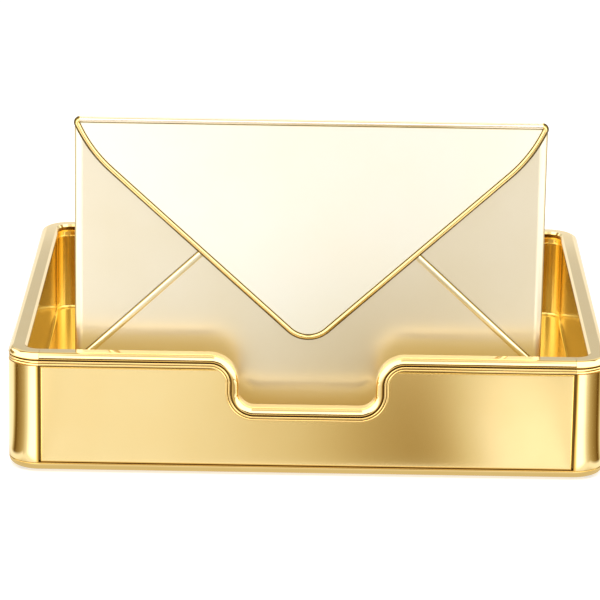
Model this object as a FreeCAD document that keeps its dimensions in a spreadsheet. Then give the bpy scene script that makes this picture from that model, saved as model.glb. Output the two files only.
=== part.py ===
"""Open letter tray with a notched front, holding an upright metal envelope with a hinged flap.

Millimetres, +Z up, the front of the tray towards -Y.  The origin lies under the middle of the
tray, at the level of the feet's undersides.
"""
import FreeCAD, Part
import Sketcher
import math
import os
import re

os.makedirs("parts", exist_ok=True)
doc = FreeCAD.newDocument("letter_tray")

# ---------------------------------------------------------------- driving dimensions
SIZES = [
    # tray, outside
    ("tray_width", 332.0),
    ("tray_depth", 285.0),
    ("tray_height", 68.0),
    ("corner_radius", 18.0),
    # rim: a solid bar with a round nose and two fine steps below it
    ("rim_height", 7.4),
    ("rim_width", 10.5),
    ("rim_nose", 3.6),
    ("rim_step", 0.5),
    ("rim_bead", 1.5),
    ("rim_lip_height", 3.2),
    ("rim_edge", 1.0),
    # finger notch in the front, measured along the middle of the rim bar
    ("notch_half_width", 41.6),
    ("notch_depth", 30.0),
    ("notch_bend", 12.5),
    # walls, from outside to inside
    ("panel_recess", 0.4),
    ("panel_thickness", 2.0),
    ("panel_gap", 0.6),
    ("post_thickness", 7.3),
    ("post_tongue", 6.0),
    ("liner_inset", 7.5),
    ("liner_thickness", 1.5),
    ("liner_foot_radius", 3.0),
    # base, from the table upwards
    ("foot_proud", 1.2),
    ("foot_seat", 0.8),
    ("foot_radius", 7.0),
    ("foot_inset", 17.0),
    ("base_frame_height", 4.8),
    ("base_frame_width", 28.0),
    ("base_frame_round", 4.0),
    ("base_frame_corner", 6.0),
    ("base_plate_thickness", 1.2),
    ("board_thickness", 6.9),
    # screws
    ("tie_screw_radius", 1.25),
    ("tie_screw_head", 2.25),
    ("tie_screw_sink", 2.4),
    ("tie_screw_head_height", 1.8),
    ("tie_screw_bite", 4.0),
    ("tie_screw_reach", 13.2),
    ("base_screw_radius", 1.5),
    ("base_screw_head", 2.8),
    ("base_screw_sink", 2.6),
    ("base_screw_head_height", 2.0),
    ("base_screw_bite", 5.0),
    ("base_screw_spacing", 100.0),
    ("base_screw_inset", 18.7),
    ("channel_screw_radius", 1.25),
    ("channel_screw_head", 2.3),
    ("channel_screw_head_height", 1.0),
    ("channel_screw_bite", 5.0),
    ("channel_screw_spacing", 90.0),
    ("screw_play", 0.05),
    ("screw_clearance", 0.3),
    # envelope
    ("envelope_setback", 25.0),
    ("envelope_width", 260.0),
    ("envelope_height", 180.3),
    ("sheet_thickness", 0.8),
    ("back_thickness", 1.0),
    ("pocket_depth", 4.6),
    ("side_round", 4.0),
    ("side_wall_drop", 7.5),
    ("side_flap_gap", 6.0),
    ("side_flap_slope", 27.0),
    ("seam_slope", 42.9),
    ("seam_foot", 40.7),
    ("bottom_flap_round", 60.0),
    ("seam_bead_width", 2.0),
    ("seam_bead_height", 0.7),
    ("seam_bead_round", 0.5),
    # flap
    ("flap_thickness", 1.0),
    ("flap_bead_radius", 1.5),
    ("flap_clearance", 1.2),
    ("flap_slope", 42.3),
    ("flap_shoulder_radius", 78.6),
    ("flap_shoulder_angle", 66.0),
    ("flap_corner_radius", 3.6),
    ("flap_tip_radius", 17.3),
    # hinge along the back plate's top edge
    ("hinge_radius", 1.9),
    ("hinge_drop", 5.2),
    ("hinge_pin_radius", 0.8),
    ("hinge_play", 0.05),
    ("hinge_gap", 0.4),
    ("knuckle_length", 16.0),
    ("knuckle_inset", 2.0),
    ("leaf_height", 9.0),
    # channel that holds the envelope's foot
    ("channel_base", 1.6),
    ("channel_thickness", 1.2),
    ("channel_lip", 12.0),
    ("channel_length", 244.0),
    ("channel_play", 0.35),
]

sheet = doc.addObject("Spreadsheet::Sheet", "Sizes")
for row, (alias, value) in enumerate(SIZES, start=1):
    sheet.set(f"A{row}", alias)
    sheet.set(f"B{row}", str(value))
    sheet.setAlias(f"B{row}", alias)
doc.recompute()

size = {alias: sheet.get(alias) for alias, _ in SIZES}


WORDS = re.compile(r"\b(" + "|".join(size) + r")\b")


def s(formula):
    """Turn a formula of bare aliases into an expression that reads the sheet."""
    return WORDS.sub(r"Sizes.\1", formula)


# ---------------------------------------------------------------- shared places
# Heights above the table.
BASE = "foot_proud"
FRAME_TOP = f"({BASE} + base_frame_height)"
PLATE_TOP = f"({FRAME_TOP} + base_plate_thickness)"
BOARD_TOP = f"({PLATE_TOP} + board_thickness)"
FLOOR = f"({BOARD_TOP} + liner_thickness)"
RIM_TOP = f"({BASE} + tray_height)"
RIM_FOOT = f"({RIM_TOP} - rim_height)"
ENVELOPE_FOOT = f"({FLOOR} + channel_base)"
ENVELOPE_TOP = f"({ENVELOPE_FOOT} + envelope_height)"
HINGE_HEIGHT = f"({ENVELOPE_TOP} - hinge_drop)"

# Places along Y, from the tray's front face backwards.
FRONT = "(0 - tray_depth / 2)"
BEAD_FACE = f"({FRONT} + envelope_setback)"
FLAP_REAR = f"({BEAD_FACE} + flap_bead_radius)"
FLAP_FACE = f"({FLAP_REAR} - flap_thickness)"
BOTTOM_FACE = f"({FLAP_REAR} + flap_clearance)"
SIDE_FACE = f"({BOTTOM_FACE} + sheet_thickness)"
POCKET_FACE = f"({SIDE_FACE} + sheet_thickness)"
BACK_FACE = f"({POCKET_FACE} + pocket_depth)"
BACK_REAR = f"({BACK_FACE} + back_thickness)"
HINGE_DEPTH = f"({BACK_FACE} + hinge_radius)"

# Distances inwards from the tray's outer face.
LINER_INSIDE = "(liner_inset + liner_thickness)"


# Two places nearer than this, in mm, are the same place.
NEAR = 1e-4


# ---------------------------------------------------------------- helpers
def number(formula):
    """The value of a formula now."""
    return float(sheet.evalExpression(s(formula)))


def body(label):
    """A new PartDesign body for one piece."""
    piece = doc.addObject("PartDesign::Body", label)
    piece.Label = label
    return piece


def plane(piece, role):
    """The body's own origin plane of that role."""
    return [part for part in piece.Origin.OriginFeatures if part.Role == role][0]


def outline(piece, name, role, points, offset="0"):
    """A sketch of lines and arcs on an origin plane.

    Each point is (x, y) or (x, y, radius, side): the edge that leaves it is a line, or an arc of
    that radius whose centre lies to the left (+1) or right (-1) of the way to the next point.
    """
    sketch = piece.newObject("Sketcher::SketchObject", name)
    sketch.AttachmentSupport = [(plane(piece, role), "")]
    sketch.MapMode = "FlatFace"
    sketch.setExpression("AttachmentOffset.Base.z", s(offset))
    spots = [FreeCAD.Vector(number(point[0]), number(point[1]), 0) for point in points]
    count = len(points)
    heads = []
    tails = []
    for index in range(count):
        here = spots[index]
        there = spots[(index + 1) % count]
        if len(points[index]) == 2:
            sketch.addGeometry(Part.LineSegment(here, there))
            heads.append(1)
            tails.append(2)
            continue
        radius = number(points[index][2])
        side = points[index][3]
        way = there - here
        half = way.Length / 2
        left = FreeCAD.Vector(-way.y, way.x, 0).normalize()
        centre = here + way * 0.5 + left * (side * math.sqrt(max(radius ** 2 - half ** 2, 0)))
        circle = Part.Circle(centre, FreeCAD.Vector(0, 0, 1), radius)
        ends = (here, there) if side > 0 else (there, here)
        angles = [math.atan2(end.y - centre.y, end.x - centre.x) for end in ends]
        sketch.addGeometry(Part.ArcOfCircle(circle, angles[0], angles[1]))
        heads.append(1 if side > 0 else 2)
        tails.append(2 if side > 0 else 1)
    for index in range(count):
        after = (index + 1) % count
        joint = Sketcher.Constraint("Coincident", index, tails[index], after, heads[after])
        sketch.addConstraint(joint)
    for index, point in enumerate(points):
        for kind, formula in (("DistanceX", point[0]), ("DistanceY", point[1])):
            bound = Sketcher.Constraint(kind, -1, 1, index, heads[index], number(formula))
            where = sketch.addConstraint(bound)
            sketch.setExpression(f"Constraints[{where}]", s(formula))
        if len(point) == 4:
            bound = Sketcher.Constraint("Radius", index, number(point[2]))
            where = sketch.addConstraint(bound)
            sketch.setExpression(f"Constraints[{where}]", s(point[2]))
    return sketch


def rounded(inset, radius):
    """Corner points of the tray's plan, set in from its outer face, with round corners."""
    wide = f"(tray_width / 2 - {inset})"
    deep = f"(tray_depth / 2 - {inset})"
    points = []
    for turn in ((1, -1), (1, 1), (-1, 1), (-1, -1)):
        across = (f"{turn[0]} * {wide}", f"{turn[1]} * ({deep} - {radius})")
        along = (f"{turn[0]} * ({wide} - {radius})", f"{turn[1]} * {deep}")
        pair = (along, across) if turn[0] * turn[1] < 0 else (across, along)
        points.append((pair[0][0], pair[0][1], radius, 1))
        points.append(pair[1])
    return points


def rectangle(x_low, x_high, y_low, y_high):
    """Corner points of a rectangle."""
    return [(x_low, y_low), (x_high, y_low), (x_high, y_high), (x_low, y_high)]


def feature(piece, kind, name, sketch, **lengths):
    """A PartDesign feature on a sketch, its properties bound to formulas."""
    made = piece.newObject(f"PartDesign::{kind}", name)
    made.Profile = sketch
    for key, formula in lengths.items():
        made.setExpression(key, s(formula))
    doc.recompute()
    return made


def pad(piece, name, sketch, length):
    """Material on the side that the sketch faces."""
    return feature(piece, "Pad", name, sketch, Length=length)


def cut(piece, name, sketch, length, reverse=False):
    """A pocket that takes material away, its way checked by the volume it removes."""
    before = piece.Shape.Volume
    made = feature(piece, "Pocket", name, sketch, Length=length)
    made.Reversed = reverse
    doc.recompute()
    if piece.Shape.Volume > before - NEAR:
        raise RuntimeError(f"{piece.Label}: {name} cuts nothing")
    return made


def soften(piece, kind, name, amount, wanted):
    """A Fillet or Chamfer on the edges of the tip for which wanted(edge) is true."""
    base = piece.Tip
    names = [f"Edge{i}" for i, edge in enumerate(base.Shape.Edges, start=1) if wanted(edge)]
    if not names:
        raise RuntimeError(f"{piece.Label}: {name} finds no edge")
    made = piece.newObject(f"PartDesign::{kind}", name)
    made.Base = (base, names)
    made.setExpression("Radius" if kind == "Fillet" else "Size", s(amount))
    doc.recompute()
    return made


def at_height(edge, height):
    """True for an edge that lies level at that height."""
    box = edge.BoundBox
    return abs(box.ZMin - height) < NEAR and abs(box.ZMax - height) < NEAR


def circles(piece, name, role, spots, radius, offset):
    """A sketch of equal circles on an origin plane."""
    sketch = piece.newObject("Sketcher::SketchObject", name)
    sketch.AttachmentSupport = [(plane(piece, role), "")]
    sketch.MapMode = "FlatFace"
    sketch.setExpression("AttachmentOffset.Base.z", s(offset))
    for index, spot in enumerate(spots):
        place = FreeCAD.Vector(number(spot[0]), number(spot[1]), 0)
        sketch.addGeometry(Part.Circle(place, FreeCAD.Vector(0, 0, 1), number(radius)))
        for kind, formula in (("DistanceX", spot[0]), ("DistanceY", spot[1])):
            bound = Sketcher.Constraint(kind, -1, 1, index, 3, number(formula))
            where = sketch.addConstraint(bound)
            sketch.setExpression(f"Constraints[{where}]", s(formula))
        where = sketch.addConstraint(Sketcher.Constraint("Radius", index, number(radius)))
        sketch.setExpression(f"Constraints[{where}]", s(radius))
    return sketch


def drill(piece, name, spots, radius, low, high):
    """Round upright holes at (x, y) spots, between two heights."""
    sketch = circles(piece, f"{name}_circles", "XY_Plane", spots, radius, high)
    return cut(piece, name, sketch, f"{high} - {low}")


def solid(kind, label, **sizes):
    """A Part primitive, its sizes and place bound to formulas."""
    made = doc.addObject(f"Part::{kind}", label)
    made.Label = label
    for key, formula in sizes.items():
        path = f"Placement.Base.{key}" if key in ("x", "y", "z") else key
        made.setExpression(path, s(formula))
    return made


def joined(kind, label, shapes):
    """A Part boolean of several shapes: MultiFuse, Compound."""
    made = doc.addObject(f"Part::{kind}", label)
    made.Label = label
    if kind == "Compound":
        made.Links = shapes
    else:
        made.Shapes = shapes
    return made


def less(label, base, tool):
    """The base with the tool cut away."""
    made = doc.addObject("Part::Cut", label)
    made.Label = label
    made.Base = base
    made.Tool = tool
    return made



NODES = []


def keep(piece):
    """List a finished piece as a node."""
    NODES.append(piece)
    return piece


# ---------------------------------------------------------------- screw places
def tie_screw_places():
    """The rim's tie screws, one in each corner post, on the corner's diagonal."""
    reach = "tie_screw_reach * cos(45 deg)"
    wide = f"(tray_width / 2 - corner_radius + {reach})"
    deep = f"(tray_depth / 2 - corner_radius + {reach})"
    return [(f"{i} * {wide}", f"{j} * {deep}") for i in (-1, 1) for j in (-1, 1)]


def base_screw_places():
    """Three screws along the front and back of the base frame and one on each side."""
    deep = "(tray_depth / 2 - base_screw_inset)"
    wide = "(tray_width / 2 - base_screw_inset)"
    rows = [(f"{i} * base_screw_spacing", f"{j} * {deep}") for i in (-1, 0, 1) for j in (-1, 1)]
    return rows + [(f"{i} * {wide}", "0") for i in (-1, 1)]


CHANNEL_MIDDLE = f"(({BOTTOM_FACE} + {BACK_REAR}) / 2)"


def channel_screw_places():
    """Three screws along the middle of the envelope's channel."""
    return [(f"{i} * channel_screw_spacing", CHANNEL_MIDDLE) for i in (-1, 0, 1)]


# ---------------------------------------------------------------- rim
QUARTER = 1 - math.cos(math.pi / 4)


def front_rim_path():
    """The front bar's path from right to left: the front face at mid height, through the notch."""
    end = size["tray_width"] / 2 - size["corner_radius"]
    deep = size["tray_depth"] / 2
    high = number(RIM_TOP) - size["rim_height"] / 2
    bend = size["notch_bend"]
    half = size["notch_half_width"]
    low = high - size["notch_depth"]

    def spot(x, z):
        return FreeCAD.Vector(x, -deep, z)

    def bends(side):
        """The end of the bar, the shoulder's arc, the wall and the hollow's arc on one side."""
        shoulder = Part.Arc(spot(side * (half + bend), high),
                            spot(side * (half + bend * QUARTER), high - bend * QUARTER),
                            spot(side * half, high - bend))
        hollow = Part.Arc(spot(side * half, low + bend),
                          spot(side * (half - bend * QUARTER), low + bend * QUARTER),
                          spot(side * (half - bend), low))
        return [
            Part.makeLine(spot(side * end, high), spot(side * (half + bend), high)),
            shoulder.toShape(),
            Part.makeLine(spot(side * half, high - bend), spot(side * half, low + bend)),
            hollow.toShape(),
        ]

    floor = Part.makeLine(spot(half - bend, low), spot(bend - half, low))
    return Part.Wire(Part.__sortEdges__(bends(1) + [floor] + bends(-1)))


def rear_rim_path():
    """The bow's path: from the front right corner round the sides and back to the front left."""
    wide = size["tray_width"] / 2
    deep = size["tray_depth"] / 2
    corner = size["corner_radius"]
    high = number(RIM_TOP) - size["rim_height"] / 2

    def spot(x, y):
        return FreeCAD.Vector(x, y, high)

    def corner_arc(i, j):
        middle = spot(i * (wide - corner * QUARTER), j * (deep - corner * QUARTER))
        ends = (spot(i * (wide - corner), j * deep), spot(i * wide, j * (deep - corner)))
        return Part.Arc(ends[0], middle, ends[1]).toShape()

    edges = [corner_arc(i, j) for i in (-1, 1) for j in (-1, 1)]
    edges.append(Part.makeLine(spot(-wide, corner - deep), spot(-wide, deep - corner)))
    edges.append(Part.makeLine(spot(wide, corner - deep), spot(wide, deep - corner)))
    edges.append(Part.makeLine(spot(corner - wide, deep), spot(wide - corner, deep)))
    return Part.Wire(Part.__sortEdges__(edges))


def rim_profile():
    """The rim's section where the front bar meets the bow, in a plane of equal x."""
    top = number(RIM_TOP)
    deep = size["tray_depth"] / 2
    end = size["tray_width"] / 2 - size["corner_radius"]
    nose = size["rim_nose"]
    step = size["rim_step"]
    bead = size["rim_bead"]
    edge = size["rim_edge"]
    width = size["rim_width"]
    foot = size["rim_height"]
    lip = size["rim_lip_height"]
    inside = number(LINER_INSIDE)

    def spot(inward, down):
        return FreeCAD.Vector(end, inward - deep, top - down)

    def arc(*spots):
        return Part.Arc(*[spot(*place) for place in spots]).toShape()

    bulge = bead / 2
    first = foot - 2 * bead
    second = foot - bead
    shelf = lip + (width - inside)
    edges = [
        Part.makeLine(spot(width - edge, 0), spot(nose, 0)),
        arc((nose, 0), (nose * QUARTER, nose * QUARTER), (0, nose)),
        Part.makeLine(spot(0, nose), spot(0, first - step / 2)),
        Part.makeLine(spot(0, first - step / 2), spot(step, first)),
        arc((step, first), (step / 4, first + bulge), (step, second)),
        arc((step, second), (step / 4, second + bulge), (step, foot)),
        Part.makeLine(spot(step, foot), spot(inside, foot)),
        Part.makeLine(spot(inside, foot), spot(inside, shelf)),
        Part.makeLine(spot(inside, shelf), spot(width, lip)),
        Part.makeLine(spot(width, lip), spot(width, edge)),
        arc((width, edge), (width - edge * QUARTER, edge * QUARTER), (width - edge, 0)),
    ]
    return Part.Wire(edges)


def make_rims():
    """The rim in two lengths: the notched front bar, and the bow that takes the tie screws."""
    bow = rear_rim_path().makePipeShell([rim_profile()], True, False)
    radius = size["tie_screw_radius"] + size["screw_play"]
    for spot in tie_screw_places():
        place = FreeCAD.Vector(number(spot[0]), number(spot[1]), number(RIM_FOOT))
        bow = bow.cut(Part.makeCylinder(radius, size["tie_screw_bite"], place))
    bar = front_rim_path().makePipeShell([rim_profile()], True, False)
    for label, shape in (("front_rim", bar), ("rear_rim", bow)):
        rim = doc.addObject("Part::Feature", label)
        rim.Label = label
        rim.Shape = shape
        keep(rim)


make_rims()


# ---------------------------------------------------------------- notch
def notch_points():
    """The notch as cut in the walls: the underside of the rim bar, open at the top."""
    half = "rim_height / 2"
    tight = f"(notch_bend - {half})"
    wide = f"(notch_bend + {half})"
    outer = "(notch_half_width + notch_bend)"
    inner = "(notch_half_width - notch_bend)"
    wall = f"(notch_half_width + {half})"
    shoulder = f"({RIM_TOP} - {half} - notch_bend)"
    hollow = f"({RIM_TOP} - {half} - notch_depth + notch_bend)"
    low = f"({RIM_FOOT} - notch_depth)"
    above = f"({RIM_TOP} + rim_height)"
    return [
        (f"0 - {outer}", above),
        (f"0 - {outer}", RIM_FOOT, tight, -1),
        (f"0 - {wall}", shoulder),
        (f"0 - {wall}", hollow, wide, 1),
        (f"0 - {inner}", low),
        (inner, low, wide, 1),
        (wall, hollow),
        (wall, shoulder, tight, -1),
        (outer, RIM_FOOT),
        (outer, above),
    ]


# ---------------------------------------------------------------- outer walls
def make_panel(label, half_length, face, turn, notched=False):
    """A flat outer panel between two corner posts, with eased upright edges.

    It is drawn as a front panel, face in front of the middle, and turned about Z into its place.
    """
    piece = body(label)
    corners = rectangle(f"0 - {half_length}", half_length, FRAME_TOP, RIM_FOOT)
    plan = outline(piece, "plate_outline", "XZ_Plane", corners, f"{face} - panel_thickness")
    pad(piece, "plate", plan, "panel_thickness")
    if notched:
        opening = outline(piece, "notch_outline", "XZ_Plane", notch_points(), face)
        cut(piece, "notch", opening, "panel_thickness")
    length = number(half_length)
    depth = number(face)

    def outer_upright(edge):
        middle = edge.BoundBox.Center
        return abs(abs(middle.x) - length) < NEAR and abs(middle.y + depth) < NEAR

    soften(piece, "Chamfer", "eased_edges", "panel_recess", outer_upright)
    piece.Placement = FreeCAD.Placement(FreeCAD.Vector(), FreeCAD.Rotation(turn, 0, 0))
    return keep(piece)


ALONG_X = "(tray_width / 2 - corner_radius - panel_gap)"
ALONG_Y = "(tray_depth / 2 - corner_radius - panel_gap)"
make_panel("front_panel", ALONG_X, "(tray_depth / 2 - panel_recess)", 0, notched=True)
make_panel("right_panel", ALONG_Y, "(tray_width / 2 - panel_recess)", 90)
make_panel("back_panel", ALONG_X, "(tray_depth / 2 - panel_recess)", 180)
make_panel("left_panel", ALONG_Y, "(tray_width / 2 - panel_recess)", 270)


def make_post(label, i, j, turn):
    """A quarter-round corner post with a tongue behind each panel and a hole for its screw."""
    piece = body(label)
    outer = "corner_radius"
    inner = "(corner_radius - post_thickness)"
    seat = "(corner_radius - panel_recess - panel_thickness)"
    points = [
        (outer, "0", outer, 1),
        ("0", outer),
        ("0", seat),
        ("0 - post_tongue", seat),
        ("0 - post_tongue", inner),
        ("0", inner, inner, -1),
        (inner, "0"),
        (inner, "0 - post_tongue"),
        (seat, "0 - post_tongue"),
        (seat, "0"),
    ]
    plan = outline(piece, "post_outline", "XY_Plane", points, FRAME_TOP)
    pad(piece, "post", plan, f"{RIM_FOOT} - {FRAME_TOP}")
    reach = "tie_screw_reach * cos(45 deg)"
    hole = "(tie_screw_radius + screw_clearance)"
    drill(piece, "screw_hole", [(reach, reach)], hole, FRAME_TOP, RIM_FOOT)
    piece.Placement = FreeCAD.Placement(FreeCAD.Vector(), FreeCAD.Rotation(turn, 0, 0))
    piece.setExpression("Placement.Base.x", s(f"{i} * (tray_width / 2 - corner_radius)"))
    piece.setExpression("Placement.Base.y", s(f"{j} * (tray_depth / 2 - corner_radius)"))
    return keep(piece)


make_post("corner_post_back_right", 1, 1, 0)
make_post("corner_post_back_left", -1, 1, 90)
make_post("corner_post_front_left", -1, -1, 180)
make_post("corner_post_front_right", 1, -1, 270)


# ---------------------------------------------------------------- base
def make_base_frame():
    """The base moulding: a ring with a rounded lower edge, seats for feet and sunk screw heads."""
    piece = body("base_frame")
    plan = outline(piece, "outer_plan", "XY_Plane", rounded("0", "corner_radius"), BASE)
    pad(piece, "ring", plan, "base_frame_height")
    opening = outline(piece, "inner_plan", "XY_Plane",
                      rounded("base_frame_width", "base_frame_corner"), FRAME_TOP)
    cut(piece, "opening", opening, "base_frame_height")
    wide = size["tray_width"] / 2
    deep = size["tray_depth"] / 2

    def outer_edge(height):
        def wanted(edge):
            box = edge.BoundBox
            beside = max(abs(box.XMin), abs(box.XMax)) > wide - NEAR
            across = max(abs(box.YMin), abs(box.YMax)) > deep - NEAR
            return at_height(edge, number(height)) and (beside or across)
        return wanted

    soften(piece, "Fillet", "rounded_foot", "base_frame_round", outer_edge(BASE))
    soften(piece, "Chamfer", "eased_top", "panel_recess", outer_edge(FRAME_TOP))
    drill(piece, "foot_seats", foot_places(), "foot_radius", BASE, f"({BASE} + foot_seat)")
    for name, places in (("tie", tie_screw_places()), ("base", base_screw_places())):
        sunk = f"({BASE} + {name}_screw_sink)"
        through = f"({name}_screw_radius + screw_clearance)"
        head = f"({name}_screw_head + screw_clearance)"
        drill(piece, f"{name}_screw_heads", places, head, BASE, sunk)
        drill(piece, f"{name}_screw_holes", places, through, BASE, FRAME_TOP)
    return keep(piece)


def foot_places():
    """The feet, one near each corner."""
    wide = "(tray_width / 2 - foot_inset)"
    deep = "(tray_depth / 2 - foot_inset)"
    return [(f"{i} * {wide}", f"{j} * {deep}") for i in (-1, 1) for j in (-1, 1)]


def make_feet():
    """Round pads let into the base frame."""
    names = ("front_left", "back_left", "front_right", "back_right")
    for name, spot in zip(names, foot_places()):
        foot = solid("Cylinder", f"foot_pad_{name}", Radius="foot_radius",
                     Height="foot_proud + foot_seat", x=spot[0], y=spot[1])
        keep(foot)


def make_base_plate():
    """A steel plate on the base frame, under the whole floor."""
    piece = body("base_plate")
    plan = outline(piece, "plan", "XY_Plane",
                   rounded("liner_inset", "(corner_radius - liner_inset)"), FRAME_TOP)
    pad(piece, "plate", plan, "base_plate_thickness")
    hole = "(base_screw_radius + screw_clearance)"
    drill(piece, "screw_holes", base_screw_places(), hole, FRAME_TOP, PLATE_TOP)
    return keep(piece)


def make_floor_board():
    """The filler board between the base plate and the liner, which takes the wood screws."""
    piece = body("floor_board")
    plan = outline(piece, "plan", "XY_Plane",
                   rounded("liner_inset", "(corner_radius - liner_inset)"), PLATE_TOP)
    pad(piece, "board", plan, "board_thickness")
    drill(piece, "base_screw_holes", base_screw_places(), "(base_screw_radius + screw_play)",
          PLATE_TOP, f"({PLATE_TOP} + base_screw_bite)")
    drill(piece, "channel_screw_holes", channel_screw_places(),
          "(channel_screw_radius + screw_play)", f"({BOARD_TOP} - channel_screw_bite)", BOARD_TOP)
    return keep(piece)


def make_liner():
    """The drawn inner tray: floor, walls with round corners, and the notch in its front."""
    piece = body("inner_liner")
    plan = outline(piece, "outer_plan", "XY_Plane",
                   rounded("liner_inset", "(corner_radius - liner_inset)"), BOARD_TOP)
    pad(piece, "shell", plan, f"{RIM_FOOT} - {BOARD_TOP}")
    hollow = outline(piece, "inner_plan", "XY_Plane",
                     rounded(LINER_INSIDE, f"(corner_radius - {LINER_INSIDE})"), RIM_FOOT)
    cut(piece, "hollow", hollow, f"{RIM_FOOT} - {FLOOR}")
    soften(piece, "Fillet", "floor_edge", "liner_foot_radius",
           lambda edge: at_height(edge, number(FLOOR)))
    soften(piece, "Fillet", "outer_floor_edge", "liner_foot_radius + liner_thickness",
           lambda edge: at_height(edge, number(BOARD_TOP)))
    opening = outline(piece, "notch_outline", "XZ_Plane", notch_points(),
                      "(tray_depth / 2 - liner_inset)")
    cut(piece, "notch", opening, "liner_thickness")
    drill(piece, "screw_holes", channel_screw_places(),
          "(channel_screw_radius + screw_clearance)", BOARD_TOP, FLOOR)
    return keep(piece)


make_base_frame()
make_feet()
make_base_plate()
make_floor_board()
make_liner()


# ---------------------------------------------------------------- envelope's channel
def make_channel():
    """A low channel screwed to the floor, in which the envelope's foot stands."""
    piece = body("channel_section")
    front = f"({BOTTOM_FACE} - channel_play)"
    rear = f"({BACK_REAR} + channel_play)"
    top = f"({ENVELOPE_FOOT} + channel_lip)"
    points = [
        (f"{front} - channel_thickness", FLOOR),
        (f"{rear} + channel_thickness", FLOOR),
        (f"{rear} + channel_thickness", top),
        (rear, top),
        (rear, ENVELOPE_FOOT),
        (front, ENVELOPE_FOOT),
        (front, top),
        (f"{front} - channel_thickness", top),
    ]
    section = outline(piece, "section", "YZ_Plane", points, "0 - channel_length / 2")
    pad(piece, "channel", section, "channel_length")
    sinks = []
    for index, spot in enumerate(channel_screw_places()):
        hole = solid("Cylinder", f"channel_hole_{index}", Radius="channel_screw_radius + screw_play",
                     Height="channel_base", x=spot[0], y=spot[1], z=FLOOR)
        sink = solid("Cone", f"channel_sink_{index}", Radius1="channel_screw_radius + screw_play",
                     Radius2="channel_screw_head + screw_play",
                     Height="channel_screw_head_height",
                     x=spot[0], y=spot[1], z=f"{ENVELOPE_FOOT} - channel_screw_head_height")
        sinks += [hole, sink]
    holes = joined("MultiFuse", "channel_sinks", sinks)
    return keep(less("envelope_channel", piece, holes))


make_channel()


# ---------------------------------------------------------------- screws
def make_screws(label, places, name, head_low, shank_low, shank_high):
    """A group of equal screws, heads down: each a round head with its shank above it."""
    screws = []
    for index, spot in enumerate(places):
        head = solid("Cylinder", f"{label}_head_{index}", Radius=f"{name}_head",
                     Height=f"{name}_head_height", x=spot[0], y=spot[1], z=head_low)
        shank = solid("Cylinder", f"{label}_shank_{index}", Radius=f"{name}_radius",
                      Height=f"{shank_high} - {shank_low}", x=spot[0], y=spot[1], z=shank_low)
        screws.append(joined("MultiFuse", f"{label}_{index}", [head, shank]))
    return keep(joined("Compound", label, screws))


def make_channel_screws():
    """Countersunk screws that hold the channel, and the liner under it, to the board."""
    screws = []
    for index, spot in enumerate(channel_screw_places()):
        head = solid("Cone", f"channel_screw_head_{index}", Radius1="channel_screw_radius",
                     Radius2="channel_screw_head", Height="channel_screw_head_height",
                     x=spot[0], y=spot[1], z=f"{ENVELOPE_FOOT} - channel_screw_head_height")
        shank = solid("Cylinder", f"channel_screw_shank_{index}", Radius="channel_screw_radius",
                      Height=f"{ENVELOPE_FOOT} - channel_screw_head_height - {BOARD_TOP}"
                             " + channel_screw_bite",
                      x=spot[0], y=spot[1], z=f"{BOARD_TOP} - channel_screw_bite")
        screws.append(joined("MultiFuse", f"channel_screw_{index}", [head, shank]))
    return keep(joined("Compound", "channel_screws", screws))


TIE_SEAT = f"({BASE} + tie_screw_sink)"
BASE_SEAT = f"({BASE} + base_screw_sink)"
make_screws("rim_tie_screws", tie_screw_places(), "tie_screw",
            f"{TIE_SEAT} - tie_screw_head_height", TIE_SEAT, f"({RIM_FOOT} + tie_screw_bite)")
make_screws("base_screws", base_screw_places(), "base_screw",
            f"{BASE_SEAT} - base_screw_head_height", BASE_SEAT, f"({PLATE_TOP} + base_screw_bite)")
make_channel_screws()


# ---------------------------------------------------------------- envelope
SEAM_TOP = f"({ENVELOPE_FOOT} + seam_foot + envelope_width / 2 * tan(seam_slope * 1 deg))"
FLAT_HALF = "(envelope_width / 2 - side_round)"


def seam_points(inset):
    """The bottom flap's upper edge from right to left: two slopes and a round apex, set in."""
    tan_slope = "tan(seam_slope * 1 deg)"
    sin_slope = "sin(seam_slope * 1 deg)"
    cos_slope = "cos(seam_slope * 1 deg)"
    radius = f"(bottom_flap_round - {inset})"
    end = f"({SEAM_TOP} - {FLAT_HALF} * {tan_slope} - {inset} / {cos_slope})"
    middle = f"({SEAM_TOP} - bottom_flap_round / {cos_slope})"
    x_round = f"({radius} * {sin_slope})"
    z_round = f"({middle} + {radius} * {cos_slope})"
    return [
        (FLAT_HALF, end),
        (x_round, z_round, radius, 1),
        (f"0 - {x_round}", z_round),
        (f"0 - {FLAT_HALF}", end),
    ]


def make_bottom_flap():
    """The bottom flap: front plate up to its round apex, and a return that closes the foot."""
    piece = body("bottom_flap")
    points = [(f"0 - {FLAT_HALF}", ENVELOPE_FOOT), (FLAT_HALF, ENVELOPE_FOOT)]
    face = outline(piece, "plate_outline", "XZ_Plane", points + seam_points("0"),
                   f"0 - {SIDE_FACE}")
    pad(piece, "plate", face, "sheet_thickness")
    corners = rectangle(f"0 - {FLAT_HALF}", FLAT_HALF, BOTTOM_FACE, BACK_FACE)
    foot = outline(piece, "foot_outline", "XY_Plane", corners, ENVELOPE_FOOT)
    pad(piece, "foot", foot, "sheet_thickness")
    return keep(piece)


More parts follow.
